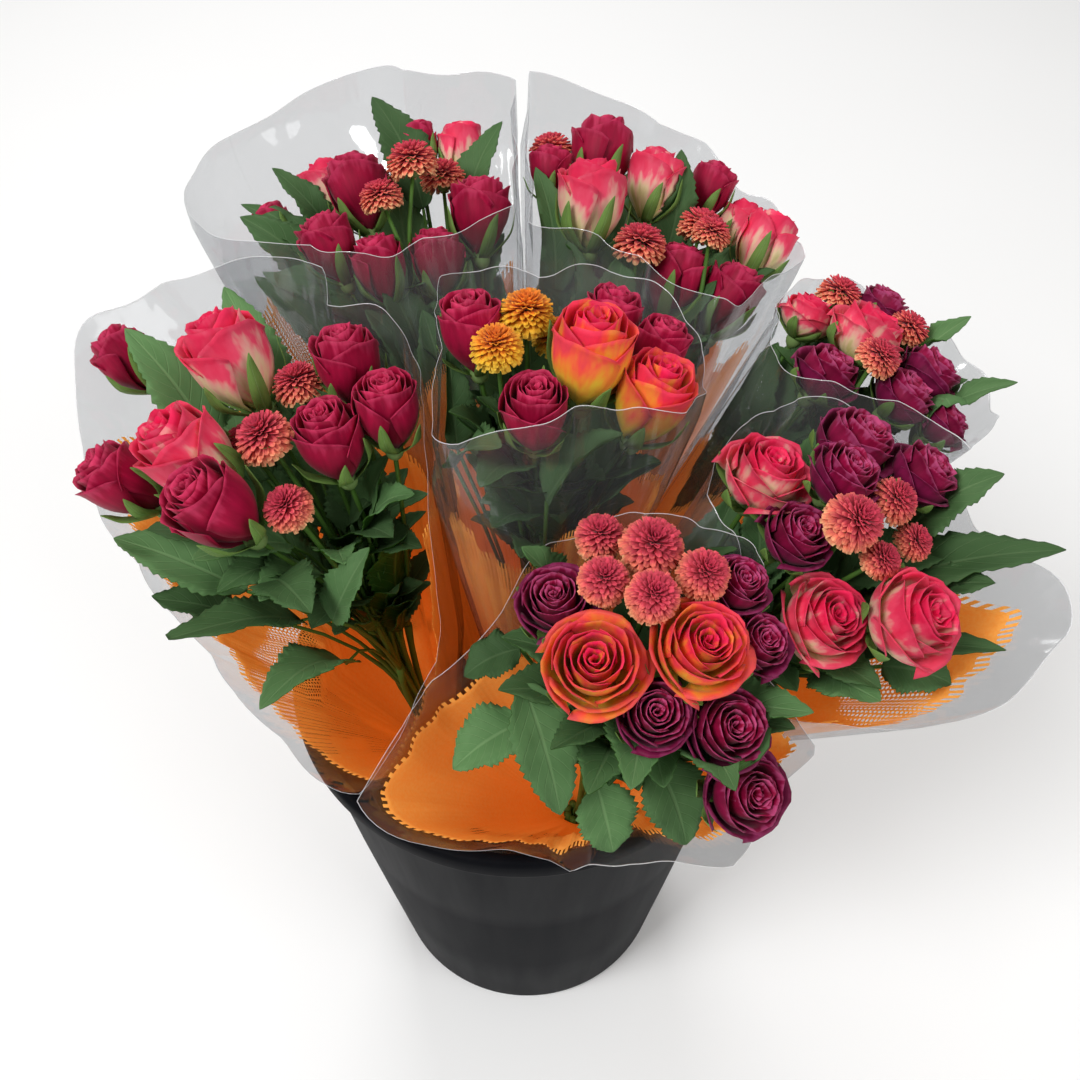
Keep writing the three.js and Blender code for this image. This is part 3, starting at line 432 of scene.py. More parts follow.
# %% Bunch data
BUNCHES = [
    dict(
        name="left", collar=(-62, 6), head=(-148, 33, 483), share=95,
        edge=(500, 520, 530, 480, 425, 385, 356, 395), net=(425, 18),
        flaps=((215, 15), (262, 42), (281, 130)),
        crimson=((-245, 112, 470, 31), (-230, 20, 455, 35), (-162, -24, 480, 40),
                 (-98, 64, 505, 34), (-102, 18, 490, 35), (-70, 28, 500, 33)),
        bicolor=((-167, 74, 500, 44), (-182, 12, 482, 43)),
        mums=((-130, 66, 492, 28), (-140, 14, 498, 30), (-160, 38, 470, 26),
              (-126, -18, 475, 26), (-118, 40, 472, 23)),
        leaves=((-185, 60, 440, -232, 98, 505, 46), (-160, -20, 405, -236, 2, 430, 44),
                (-140, -24, 420, -112, -62, 440, 42), (-168, -20, 380, -214, -30, 412, 36),
                (-106, -46, 410, -84, -30, 455, 34), (-90, 4, 430, -60, -4, 470, 32),
                (-150, 90, 440, -186, 150, 500, 40)),
    ),
    dict(
        name="back_left", collar=(-26, 60), head=(-84, 222, 513), share=82,
        edge=(545, 556, 552, 526, 518, 518, 524, 532), net=(440, 16), flaps=((12, 70),),
        crimson=((-172, 242, 480, 26), (-123, 182, 505, 32), (-109, 226, 518, 36),
                 (-90, 166, 500, 31), (-28, 204, 515, 35), (-55, 176, 498, 31),
                 (-74, 286, 515, 28)),
        bicolor=((-44, 286, 512, 31), (-134, 262, 495, 34)),
        mums=((-90, 196, 534, 26), (-70, 212, 550, 30), (-54, 236, 525, 28),
              (-104, 268, 500, 26)),
        leaves=((-130, 192, 446, -188, 224, 502, 54), (-128, 232, 470, -168, 254, 520, 34),
                (-70, 250, 490, -104, 304, 545, 42), (-40, 236, 490, -16, 268, 545, 34),
                (-84, 180, 440, -60, 138, 500, 36), (-116, 150, 436, -150, 146, 496, 40)),
    ),
    dict(
        name="back_right", collar=(30, 60), head=(88, 226, 503), share=88,
        edge=(482, 490, 520, 545, 530, 515, 512, 490), net=(430, 16), flaps=((160, 70),),
        crimson=((50, 268, 520, 38), (128, 262, 498, 28), (104, 178, 480, 36),
                 (142, 164, 474, 35), (16, 250, 520, 26)),
        bicolor=((43, 206, 522, 40), (86, 246, 512, 34), (160, 210, 488, 34),
                 (148, 246, 478, 28)),
        mums=((4, 282, 522, 28), (74, 178, 512, 32), (118, 212, 502, 30),
              (120, 190, 512, 24)),
        leaves=((20, 190, 460, 0, 236, 530, 38), (40, 160, 450, 14, 168, 510, 44),
                (62, 150, 440, 66, 178, 506, 40), (96, 222, 470, 104, 258, 530, 34),
                (120, 190, 440, 196, 176, 486, 36), (90, 150, 420, 116, 128, 470, 40),
                (70, 270, 450, 96, 304, 505, 38)),
    ),
    dict(
        name="centre", collar=(4, 6), head=(23, 40, 536), share=62,
        edge=(520, 530, 540, 545, 545, 545, 545, 532), net=(450, 14), flaps=((235, 30),),
        crimson=((-38, 56, 540, 32), (50, 78, 524, 30), (8, -4, 528, 31), (76, 58, 520, 28)),
        bicolor=((38, 24, 542, 40), (70, 14, 522, 38)),
        mums=((-2, 54, 548, 29), (-12, 22, 552, 26), (20, 62, 528, 26)),
        leaves=((-36, 6, 480, -10, -18, 520, 44), (14, -20, 480, 52, -10, 520, 46),
                (-30, 90, 480, -6, 112, 530, 38), (40, 100, 470, 66, 112, 510, 36),
                (-48, 30, 470, -58, 56, 525, 32)),
    ),
    dict(
        name="front", collar=(36, -52), head=(73, -106, 478), share=88,
        edge=(430, 490, 500, 480, 388, 350, 340, 375), net=(392, 22),
        flaps=((272, 62), (204, 170)),
        crimson=((18, -88, 480, 34), (108, -84, 486, 28), (114, -104, 472, 29),
                 (64, -138, 458, 32), (102, -138, 440, 38), (112, -152, 412, 38)),
        bicolor=((36, -126, 480, 42), (86, -116, 486, 42)),
        mums=((42, -62, 500, 24), (66, -74, 505, 30), (88, -88, 502, 25),
              (42, -94, 504, 24), (64, -106, 505, 25)),
        leaves=((2, -110, 442, 22, -154, 386, 40), (2, -108, 404, -36, -128, 390, 42),
                (70, -128, 400, 88, -160, 366, 44), (104, -112, 410, 146, -118, 396, 40),
                (20, -66, 450, -8, -58, 494, 38), (90, -60, 440, 120, -48, 495, 40),
                (0, -80, 430, -30, -90, 420, 36), (40, -130, 380, 50, -170, 345, 40)),
    ),
    dict(
        name="right", collar=(64, -14), head=(178, -40, 488), share=84,
        edge=(440, 480, 500, 500, 485, 430, 405, 410), net=(415, 20), flaps=((350, 72), (318, 42)),
        crimson=((124, -56, 490, 32), (164, -18, 502, 34), (178, 18, 498, 40),
                 (214, -6, 488, 34)),
        bicolor=((128, -14, 498, 42), (156, -90, 460, 42), (196, -88, 466, 44)),
        mums=((164, -54, 506, 29), (192, -32, 496, 24), (206, -44, 476, 20),
              (184, -62, 482, 20)),
        leaves=((210, -20, 450, 254, -12, 494, 42), (214, -50, 430, 246, -60, 462, 34),
                (160, -80, 410, 186, -108, 425, 42), (200, -70, 400, 250, -92, 405, 50),
                (150, 20, 430, 158, 48, 490, 36), (130, -60, 420, 118, -84, 440, 30)),
    ),
    dict(
        name="right_back", collar=(58, 28), head=(213, 98, 493), share=80,
        edge=(465, 480, 495, 500, 508, 505, 500, 480), net=(415, 18), flaps=((20, 10),),
        crimson=((220, 134, 494, 28), (176, 62, 500, 34), (240, 84, 482, 35),
                 (222, 60, 486, 32), (246, 54, 470, 28)),
        bicolor=((176, 122, 498, 30), (206, 96, 502, 40)),
        mums=((196, 136, 500, 26), (230, 110, 496, 24), (196, 66, 508, 24)),
        leaves=((240, 64, 440, 278, 56, 500, 34), (230, 100, 450, 264, 108, 506, 36),
                (180, 140, 440, 200, 176, 486, 36), (180, 90, 430, 150, 96, 494, 38),
                (210, 50, 420, 236, 26, 450, 34)),
    ),
]
KINDS = {"crimson": "crimson_roses", "bicolor": "bicolor_roses", "mums": "chrysanthemums"}
print("bunches:", {bunch["name"]: sum(len(bunch[kind]) for kind in KINDS) for bunch in BUNCHES})

# %% [markdown]
# ## Room for each film
# A real sleeve is pushed out by its blooms and stopped by the sleeves next to it and by the bucket.
# That could be simulated as cloth, but seven stiff films that press on each other seldom come to
# rest, so the reach of each film is worked out. It leans out as far as its blooms need, and it ends
# half way to the next bunch and at the bucket's wall and lip. Leaves and blooms stay inside it.

# %% The middle line of a bunch
COLLAR_LOW, COLLAR_TOP, COLLAR_RADIUS = 180, 200, 10
RIM_LEVEL = 322
WAIST_REACH = 90


def middle_at(bunch, z):
    """The bunch's middle line at a height: collar, waist at the bucket's rim, head."""
    if z < RIM_LEVEL:
        start, end, low, high = bunch["collar"], bunch["waist"], COLLAR_TOP, RIM_LEVEL
    else:
        start, end, low, high = bunch["waist"], bunch["head"], RIM_LEVEL, bunch["head"][2]
    rise = min(max((z - low) / (high - low), 0), 1)
    return [start[k] + (end[k] - start[k]) * rise for k in (0, 1)]


for bunch in BUNCHES:
    share = (RIM_LEVEL - COLLAR_TOP) / (bunch["head"][2] - COLLAR_TOP)
    straight = [c + (h - c) * share for c, h in zip(bunch["collar"], bunch["head"])]
    pull = min(WAIST_REACH / math.hypot(*straight), 1)
    bunch["waist"] = [c * pull for c in straight]
print("waist of the first bunch:", [round(c, 1) for c in BUNCHES[0]["waist"]])

# %% Blooms of a bunch
BLOOM_TO_FILM = 6

for bunch in BUNCHES:
    bunch["blooms"] = [
        {"kind": kind, "bunch": bunch, "at": Vector(row[:3]), "radius": row[3] / 2}
        for kind in KINDS for row in bunch[kind]
    ]
    offsets = []
    for bloom in bunch["blooms"]:
        ax, ay = middle_at(bunch, bloom["at"].z)
        dx, dy = bloom["at"].x - ax, bloom["at"].y - ay
        offsets.append((math.atan2(dy, dx), math.hypot(dx, dy), bloom["radius"], bloom["at"].z))
    aside, out, wide, high = np.array(offsets).T
    bunch["around"] = (aside, (out, wide + BLOOM_TO_FILM), high - COLLAR_TOP)

ALL_BLOOMS = [bloom for bunch in BUNCHES for bloom in bunch["blooms"]]
print("blooms:", len(ALL_BLOOMS))

# %% How far the film reaches
NECK = COLLAR_RADIUS + 3
WALL_RADIUS, WALL_LEAN, LEAN_OVER_LIP = 138, 0.13, 1.45
CELL_GAP = 3
HEAD_RISE = 300
FILM_LEAN = 0.12
FOLD = FULL_TURN / 12


def free_reach(bunch, angle, z):
    """How far the film stands from the middle line where nothing but its own blooms hold it out."""
    aside, out, high = bunch["around"]
    near = np.maximum(np.arccos(np.cos(aside - angle)) - FOLD / 2, 0)
    wide = (out[0] * np.cos(near) + out[1]) / math.cos(FOLD / 2)
    slope = max(FILM_LEAN, float(((wide - NECK) / high).max()))
    for bearing, extra in bunch["flaps"]:
        lobe = max(math.cos(angle - math.radians(bearing)), 0) ** 6
        slope += lobe * extra / (bunch["head"][2] - COLLAR_TOP)
    return NECK + slope * (min(z, bunch["head"][2]) - COLLAR_TOP)


def film_reach(bunch, angle, z):
    """The free reach, cut off half way to a neighbour and at the bucket's wall and lip."""
    if z <= COLLAR_TOP:
        return NECK
    reach = free_reach(bunch, angle, z)
    ax, ay = middle_at(bunch, z)
    ux, uy = math.cos(angle), math.sin(angle)
    weight = min((min(z, bunch["head"][2]) - COLLAR_TOP) / HEAD_RISE, 1) ** 2
    for other in BUNCHES:
        if other is bunch:
            continue
        bx, by = middle_at(other, z)
        apart = math.hypot(bx - ax, by - ay)
        facing = ((bx - ax) * ux + (by - ay) * uy) / apart
        if facing > 0.02:
            shift = (bunch["share"] ** 2 - other["share"] ** 2) / (2 * apart) * weight
            reach = min(reach, (apart / 2 + shift - CELL_GAP / 2) / facing)
    wall = WALL_RADIUS + (z - RIM_LEVEL) * (LEAN_OVER_LIP if z > RIM_LEVEL else WALL_LEAN)
    along = ax * ux + ay * uy
    return min(reach, math.sqrt(along * along + wall * wall - ax * ax - ay * ay) - along)


print("film of the first bunch, 400 mm up, towards +X:", round(film_reach(BUNCHES[0], 0, 400), 1))

# %% Rim of the film, and what stays inside it
def sheet_reach(bunch, angle, z):
    """The reach between two of the film's folds, where it runs straight."""
    low = math.floor(angle / FOLD) * FOLD
    near, far = film_reach(bunch, low, z), film_reach(bunch, low + FOLD, z)
    past = angle - low
    return near * far * math.sin(FOLD) / (near * math.sin(past) + far * math.sin(FOLD - past))


def film_edge(bunch, angle):
    """Height of the film's rim in one direction, from the eight heights of the bunch's edge."""
    step = angle / (math.pi / 4) % 8
    low = math.floor(step)
    blend = (1 - math.cos((step - low) * math.pi)) / 2
    return bunch["edge"][low % 8] * (1 - blend) + bunch["edge"][(low + 1) % 8] * blend


def held_in(bunch, point, inset):
    """A point drawn in until it stands inside the film by the inset."""
    ax, ay = middle_at(bunch, point.z)
    dx, dy = point.x - ax, point.y - ay
    out = math.hypot(dx, dy)
    if out < 1e-9:
        return point
    most = max(sheet_reach(bunch, math.atan2(dy, dx), point.z) - inset, 1)
    if out <= most:
        return point
    return Vector((ax + dx * most / out, ay + dy * most / out, point.z))


print("rim of the first bunch, mm:", [round(film_edge(BUNCHES[0], k * FULL_TURN / 4)) for k in range(4)])

# %% Blooms settle against each other
SETTLING_ROUNDS = 80
BLOOM_GAP, BLOOM_INSET = 1.4, 5
SPREAD = 1.45

for _ in range(SETTLING_ROUNDS):
    for i, a in enumerate(ALL_BLOOMS):
        for b in ALL_BLOOMS[i + 1:]:
            least = a["radius"] + b["radius"] + BLOOM_GAP
            gap = b["at"] - a["at"]
            if gap.length_squared < least * least:
                push = gap * ((least - gap.length) / (2 * gap.length))
                a["at"] -= push
                b["at"] += push
    for bloom in ALL_BLOOMS:
        bloom["at"] = held_in(bloom["bunch"], bloom["at"], bloom["radius"] + BLOOM_INSET)

for bloom in ALL_BLOOMS:
    cx, cy = bloom["bunch"]["collar"]
    bloom["axis"] = Vector((
        (bloom["at"].x - cx) * SPREAD, (bloom["at"].y - cy) * SPREAD, bloom["at"].z - COLLAR_TOP,
    )).normalized()
print("first bloom settled at", [round(c, 1) for c in ALL_BLOOMS[0]["at"]])

# %% [markdown]
# ## Roses
# A rose is a spiral of petals round its axis. Each petal here is a small grid bent into a piece of
# a cup: narrow at its foot, rounded and slightly ruffled at its rim. The inner petals are tight and
# lean in, the outer ones are wide and roll back. A half-open and a closed rose are drawn at radius
# 1, each in three chance variants, and are then copied to every bloom, because the differences
# between two roses of a spray are small.

# %% One petal
FOOT_WIDTH = 0.2
PEAK_WIDTH, PEAK_RISE = 0.25, 0.035
RISE_POWER = 0.7


def petal(bm, turn, radius, top, wrap, lean, curl, layer, foot, belly, rnd, detail=(12, 9)):
    """A petal of a cup: radius and top are its size, wrap its half width in radians."""
    chance, wave, peak = rnd.random(), rnd.uniform(0, 6.3), rnd.uniform(-0.3, 0.3)
    wide = wrap * rnd.uniform(0.92, 1.08)
    tall = top * rnd.uniform(0.96, 1.04)
    lip = 0.05 + 0.25 * curl

    def place(u, v):
        rise, side = v ** RISE_POWER, abs(u)
        # the rim's outline: round, with one soft point
        point = PEAK_RISE * math.exp(-(((u - peak) / PEAK_WIDTH) ** 2))
        crest = 1 - (0.10 + 0.9 * curl) * side ** 3.4 + point
        # the cup: it swells from its foot and leans in towards its top
        width = wide * math.sqrt(max(rise * (2.02 - rise), 0.004))
        angle = turn + u * width
        swell = math.sin(min(rise * 1.3, 1) * math.pi / 2) ** belly
        out = radius * (FOOT_WIDTH + (1 - FOOT_WIDTH) * swell)
        out *= 1 - lean * max(rise - 0.4, 0) ** 1.5
        # the rim rolls back and is slightly frilled
        roll = soft_step(rise, 0.55, 1.0) ** 1.4 * (0.75 + 0.5 * side ** 2)
        edge = soft_step(rise, 0.84, 1.0) ** 2
        frill = 0.022 * rise ** 6 * (math.sin(u * 5 + wave) + 0.7 * math.sin(u * 11 + 2 * wave))
        out += curl * roll + lip * edge + frill + 0.045 * u
        z = foot + (tall - foot) * rise * (1 + (crest - 1) * rise) - curl * 0.7 * roll * roll
        return Vector((math.cos(angle) * out, math.sin(angle) * out, z - 0.6 * lip * edge ** 2 + frill))

    grid(bm, *detail, place, lambda u, v: (v ** RISE_POWER, (u + 1) / 2, layer, chance))


sample = new_mesh()
petal(sample, 0, 1, 0.5, 1, 0, 0, 0, -1, 1, random.Random(1))
print("faces of a petal:", len(sample.faces))
sample.free()

# %% Sepals and hip
HIP_RADIUS = 0.28
SEPAL_TONE, HIP_TONE = (0.5, 0.4), (0.2, 0.5, 0.5, 0.4)


def sepals(bm, count, foot, length, spread, rnd, girth=1.0, material=1):
    """Thin pointed green leaves round the cup, curling away from it, and the hip below."""
    for k in range(count):
        turn = (k + rnd.uniform(-0.2, 0.2)) / count * FULL_TURN
        reach = length * rnd.uniform(0.8, 1.15)
        away = spread * rnd.uniform(0.3, 1.6)
        side = rnd.uniform(-0.25, 0.25)

        def place(u, v):
            half = 0.36 * (1 - v) ** 0.9 * (0.45 + v) + 0.012
            out = girth * (0.24 + 0.76 * math.sin(min(v * 1.6, 1) * math.pi / 2)) + away * v ** 2.4
            angle = turn + u * half / max(out, 0.3) + side * v * v
            z = foot + reach * v - away * 0.6 * v ** 3
            return Vector((math.cos(angle) * out, math.sin(angle) * out, z))

        grid(bm, 2, 8, place, lambda u, v: (v, (u + 1) / 2, *SEPAL_TONE), material)
    shape = Matrix.Translation((0, 0, foot)) @ Matrix.Diagonal((1, 1, 1.25, 1))
    hip = bmesh.ops.create_uvsphere(bm, u_segments=12, v_segments=7, radius=HIP_RADIUS, matrix=shape)
    layer = bm.verts.layers.float_color["tone"]
    for vert in hip["verts"]:
        vert[layer] = HIP_TONE
        for face in vert.link_faces:
            face.material_index = material


def mesh_of(bm, name):
    """Keeps a bmesh as mesh data, to be copied many times."""
    mesh = bpy.data.meshes.new(name)
    bm.to_mesh(mesh)
    bm.free()
    return mesh


sample = new_mesh()
sepals(sample, 5, 0, 1, 0.1, random.Random(1))
print("faces of five sepals and a hip:", len(sample.faces))
sample.free()

# %% Whole roses
GOLDEN = math.radians(137.5)
OPEN_RINGS = [
    # petals, radius from, to, top from, to, half width, lean, curl, layer
    (3, 0.07, 0.17, 0.50, 0.53, 2.4, 0.5, 0.00, 0.0),
    (4, 0.24, 0.39, 0.57, 0.61, 2.0, 0.45, 0.00, 0.05),
    (4, 0.46, 0.60, 0.63, 0.60, 1.55, 0.4, 0.02, 0.18),
    (5, 0.66, 0.81, 0.56, 0.42, 1.25, 0.25, 0.06, 0.45),
    (5, 0.86, 0.96, 0.28, 0.02, 1.1, 0.1, 0.13, 0.9),
]
CLOSED_RINGS = [
    (3, 0.08, 0.19, 1.02, 1.05, 2.4, 0.6, 0.00, 0.0),
    (3, 0.27, 0.40, 1.08, 1.10, 2.0, 0.6, 0.00, 0.05),
    (4, 0.47, 0.63, 1.10, 1.06, 1.7, 0.6, 0.02, 0.15),
    (4, 0.70, 0.85, 1.04, 0.94, 1.4, 0.5, 0.05, 0.3),
    (4, 0.90, 0.98, 0.90, 0.70, 1.25, 0.35, 0.10, 0.5),
]
SEPALS, SEPAL_SPREAD = 5, 0.17


def rose(name, rings, foot, belly, sepal_length, seed):
    """A rose of radius 1 on the Z axis."""
    rnd = random.Random(seed)
    bm = new_mesh()
    turn = rnd.uniform(0, 6)
    for count, r0, r1, t0, t1, wrap, lean, curl, layer in rings:
        for k in range(count):
            share = k / (count - 1)
            petal(bm, turn, r0 + (r1 - r0) * share, t0 + (t1 - t0) * share, wrap, lean,
                  curl * rnd.uniform(0.5, 1.6), layer, foot, belly, rnd)
            turn += GOLDEN + rnd.uniform(-0.2, 0.2)
    sepals(bm, SEPALS, foot - 0.1, sepal_length, SEPAL_SPREAD, rnd)
    return mesh_of(bm, f"{name}_{seed}")


OPEN_ROSES = [rose("open_rose", OPEN_RINGS, -0.85, 0.75, 0.9, seed) for seed in (3, 11, 24)]
CLOSED_ROSES = [rose("closed_rose", CLOSED_RINGS, -1.3, 0.9, 1.6, seed) for seed in (5, 17, 29)]
print("faces of a rose:", len(OPEN_ROSES[0].polygons), len(CLOSED_ROSES[0].polygons))

# %% [markdown]
# ## Chrysanthemums
# A spray chrysanthemum is a dome of small spoon-shaped florets that all start from one button. Each
# floret is a grid of a few faces, cupped and widened at its tip, because it is repeated over a
# hundred times on each head. They are set by the golden angle, as they grow: the inner ones stand
# up short, the outer ones lie flat and long.

# %% A chrysanthemum head
FLORETS = 190
BUTTON_DEPTH = Vector((0, 0, 0.12))
FLORET_FOOT = 0.25


def mum_head(seed):
    """Florets on a dome of radius 1, from its crown to its rim."""
    rnd = random.Random(seed)
    bm = new_mesh()
    for k in range(FLORETS):
        far = ((k + 0.5) / FLORETS) ** 0.56
        turn = k * GOLDEN + rnd.uniform(-0.08, 0.08)
        lift = math.radians(88 - 122 * far ** 1.3) + rnd.uniform(-0.07, 0.07)
        length = (0.64 + 0.36 * far) * rnd.uniform(0.93, 1.06)
        half = (0.05 + 0.042 * far) * rnd.uniform(0.9, 1.1)
        chance, shade = rnd.random(), 0.2 + 0.8 * far ** 1.5
        ahead = Vector((math.cos(turn), math.sin(turn), 0))
        aside = Vector((-math.sin(turn), math.cos(turn), 0))

        def place(u, v):
            angle = lift + 0.35 * (0.5 - v)
            along = ahead * math.cos(angle) + UP * math.sin(angle)
            up = UP * math.cos(angle) - ahead * math.sin(angle)
            width = half * (0.5 + 0.9 * math.sin(v * 2.2)) * u * (1 if v < 0.9 else 0.75)
            cup = (0.5 * half * u * u + 0.10 * max(v - 0.7, 0)) * (0.4 + v)
            reach = along * length * (FLORET_FOOT + (1 - FLORET_FOOT) * v)
            return reach + aside * width + up * cup - BUTTON_DEPTH

        grid(bm, 2, 3, place, lambda u, v: (v * shade, (u + 1) / 2, far, chance))
    sepals(bm, 6, -0.4, 0.34, 0.05, rnd, girth=0.62)
    return mesh_of(bm, f"mum_head_{seed}")


MUM_HEADS = [mum_head(seed) for seed in (2, 8)]
print("faces of a chrysanthemum:", len(MUM_HEADS[0].polygons))

# %% [markdown]
# ## Sprays of bloom
# Each kind of bloom in a bunch becomes one piece. The blooms are copies of the drawn heads, put on
# their axes. The roses of the left, middle and back bunches are closed and seen from the side;
# those in front and on the right are open and look up.

# %% Place the blooms
CLOSED_IN = {"left", "back_left", "back_right", "centre"}
ROSE_SIZE, MUM_SIZE = 1.16, 1.14
SPIN_STEP = 2.1
PETAL_THICK = 0.3


def head_for(bunch, kind, k):
    """The drawn head that the bunch's bloom number k copies."""
    if kind == "mums":
        return MUM_HEADS[k % 2]
    choice = CLOSED_ROSES if bunch["name"] in CLOSED_IN else OPEN_ROSES
    return choice[(k + len(bunch["name"])) % 3]


def petal_finish(bunch, kind):
    """The petals' material. Only the middle bunch has yellow chrysanthemums, for example."""
    name = bunch["name"]
    return {
        "crimson": crimson if name in CLOSED_IN else plum,
        "bicolor": fiery if name in ("centre", "front") else rosy,
        "mums": yellow if name == "centre" else bronze,
    }[kind]


for bunch in BUNCHES:
    for kind, label in KINDS.items():
        bm = new_mesh()
        own = [bloom for bloom in bunch["blooms"] if bloom["kind"] == kind]
        for k, bloom in enumerate(own):
            first = len(bm.verts)
            bm.from_mesh(head_for(bunch, kind, k))
            bm.verts.ensure_lookup_table()
            tilt = UP.rotation_difference(bloom["axis"]).to_matrix().to_4x4()
            spin = Matrix.Rotation(k * SPIN_STEP + len(bunch["name"]), 4, "Z")
            size = Matrix.Scale(bloom["radius"] * (MUM_SIZE if kind == "mums" else ROSE_SIZE), 4)
            place = Matrix.Translation(bloom["at"]) @ tilt @ spin @ size
            bmesh.ops.transform(bm, matrix=place, verts=bm.verts[first:])
        spray = finished(bm, f"{bunch['name']}_{label}_petals", [petal_finish(bunch, kind), sepal_green],
                         [f"{bunch['name']}_{label}"], thick=PETAL_THICK, outward=False)
        print(spray.name, "faces:", len(spray.data.polygons))

# %% [markdown]
# ## Stems
# Green stems run from the tied bundle to a fork and from there to each bloom. A rod is a chain of
# circles joined by bridges along a curve. Of several curves, a stem takes the one that keeps
# furthest from the other blooms. Below the tie the bundle is a ring of round stems that lean
# together into the water.

# %% Curves for stems
CLEAR_OF_BLOOMS = 3.0
DETOURS = (0, 10, 22, 36)


def bend(start, knee, end, count):
    """Points on a quadratic curve."""
    return [start.lerp(knee, t).lerp(knee.lerp(end, t), t) for t in (k / count for k in range(count + 1))]


def clear_bend(start, end, aim, skip, count=8):
    """Of several bends from start to end, the one that stays furthest from the other blooms."""
    others = np.array([[*b["at"], b["radius"]] for b in ALL_BLOOMS if b is not skip])
    centres, radii = others[None, :, :3], others[None, :, 3]
    best = None
    for reach in DETOURS:
        for k in range(8 if reach else 1):
            knee = aim + Vector((math.cos(k * math.pi / 4) * reach, math.sin(k * math.pi / 4) * reach, 0))
            points = bend(start, knee, end, count)
            away = np.linalg.norm(np.array(points)[:, None, :] - centres, axis=2) - radii
            room = min(float(away.min()), CLEAR_OF_BLOOMS)
            if best is None or room > best[0] + 0.01:
                best = (room, points)
        if best[0] >= CLEAR_OF_BLOOMS:
            break
    return best[1]


print("most curves tried for a stem:", 1 + 8 * (len(DETOURS) - 1))

# %% Bundle below the tie
BUNDLE_FOOT, FOOT_SHARE, LEAN_SHARE = 3.3, 0.8, 0.2
BUNDLE_STEMS, BUNDLE_RING, BUNDLE_STEM_RADIUS = 9, 6.6, 2.5
BUNDLE_LEVELS = (4, 60, 120, COLLAR_LOW, COLLAR_TOP + 2)
BUNDLE_TWIST = 0.002


def bundle_at(bunch, z):
    """The middle of the bundle of stems below the tie."""
    rise = min((z - BUNDLE_FOOT) / (COLLAR_LOW - BUNDLE_FOOT), 1)
    return [c * (FOOT_SHARE + LEAN_SHARE * rise) for c in bunch["collar"]]


for bunch in BUNCHES:
    bm = bunch["stems"] = new_mesh()
    for k in range(BUNDLE_STEMS):
        ring = 0 if k == 0 else BUNDLE_RING
        points = []
        for z in BUNDLE_LEVELS:
            x, y = bundle_at(bunch, z)
            turn = k * math.pi / 4 + z * BUNDLE_TWIST
            points.append(Vector((x + math.cos(turn) * ring, y + math.sin(turn) * ring, z)))
        rod(bm, points, [BUNDLE_STEM_RADIUS] * len(points), 8)
print("bundle faces in the first bunch:", len(BUNCHES[0]["stems"].faces))

# %% Stems to the blooms
NECK_POINT_DROP = 4
FORK_SHARE, FORK_STEP, FORK_RADIUS = 0.42, 10, 12
MAIN_STEM, BLOOM_STEM = [2.3] * 6 + [2.9], [1.9] + [1.5] * 7 + [1.2]
ROSE_FOOT, MUM_FOOT = -0.95, -0.45
STRAIGHT_SHARE = 0.45

for bunch in BUNCHES:
    neck = Vector((*bunch["collar"], COLLAR_TOP - NECK_POINT_DROP))
    for index, kind in enumerate(KINDS):
        own = [bloom for bloom in bunch["blooms"] if bloom["kind"] == kind]
        mean = sum((bloom["at"] for bloom in own), Vector()) / len(own)
        z = COLLAR_TOP + (mean.z - COLLAR_TOP) * FORK_SHARE - FORK_STEP * index
        ax, ay = middle_at(bunch, z)
        angle = math.radians(120 * index + 30)
        fork = Vector((ax + math.cos(angle) * FORK_RADIUS, ay + math.sin(angle) * FORK_RADIUS, z))
        knee = Vector((fork.x, fork.y, (neck.z + z) / 2))
        rod(bunch["stems"], bend(neck, knee, fork, 6), MAIN_STEM, 8)
        for bloom in own:
            foot = MUM_FOOT if kind == "mums" else ROSE_FOOT
            end = bloom["at"] + bloom["axis"] * bloom["radius"] * foot
            aim = end - bloom["axis"] * STRAIGHT_SHARE * (end - fork).length
            rod(bunch["stems"], clear_bend(fork, end, aim, bloom), BLOOM_STEM, 6)
print("stem faces in the first bunch:", len(BUNCHES[0]["stems"].faces))

# %% [markdown]
# ## Leaves
# A rose leaf is oval and pointed, with a saw-toothed edge, a rib that folds it into a shallow
# valley and side veins that run to the teeth. It is a grid bent over its length and pushed off the
# blooms next to it. The underside is paler, so the thickness modifier gives it a second material.
# Each bunch has the leaves of its list, fillers among the stems under its blooms, and upright
# leaves between the blooms. A filler that would lie on a bloom is left out.

# %% One leaf
TEETH, TOOTH_DEPTH = 14, 0.19
LEAF_ARCH, LEAF_DROP, LEAF_CUP = 0.10, 0.10, 0.30
LEAF_TO_FILM, LEAF_TO_BLOOM = 8, 3
OVERHANG = 0.12


def inside_rim(bunch, point):
    """A point drawn in until it hangs no further out than the film's rim below it."""
    ax, ay = middle_at(bunch, point.z)
    dx, dy = point.x - ax, point.y - ay
    turn, out = math.atan2(dy, dx), math.hypot(dx, dy)
    rim = film_edge(bunch, turn % FULL_TURN)
    if point.z <= rim or out < 1:
        return point
    rx, ry = middle_at(bunch, rim)
    most = film_reach(bunch, turn, rim) + (rx - ax) * dx / out + (ry - ay) * dy / out + 2
    most = max(most + (point.z - rim) * OVERHANG, 1)
    return point if out <= most else Vector((ax + dx * most / out, ay + dy * most / out, point.z))


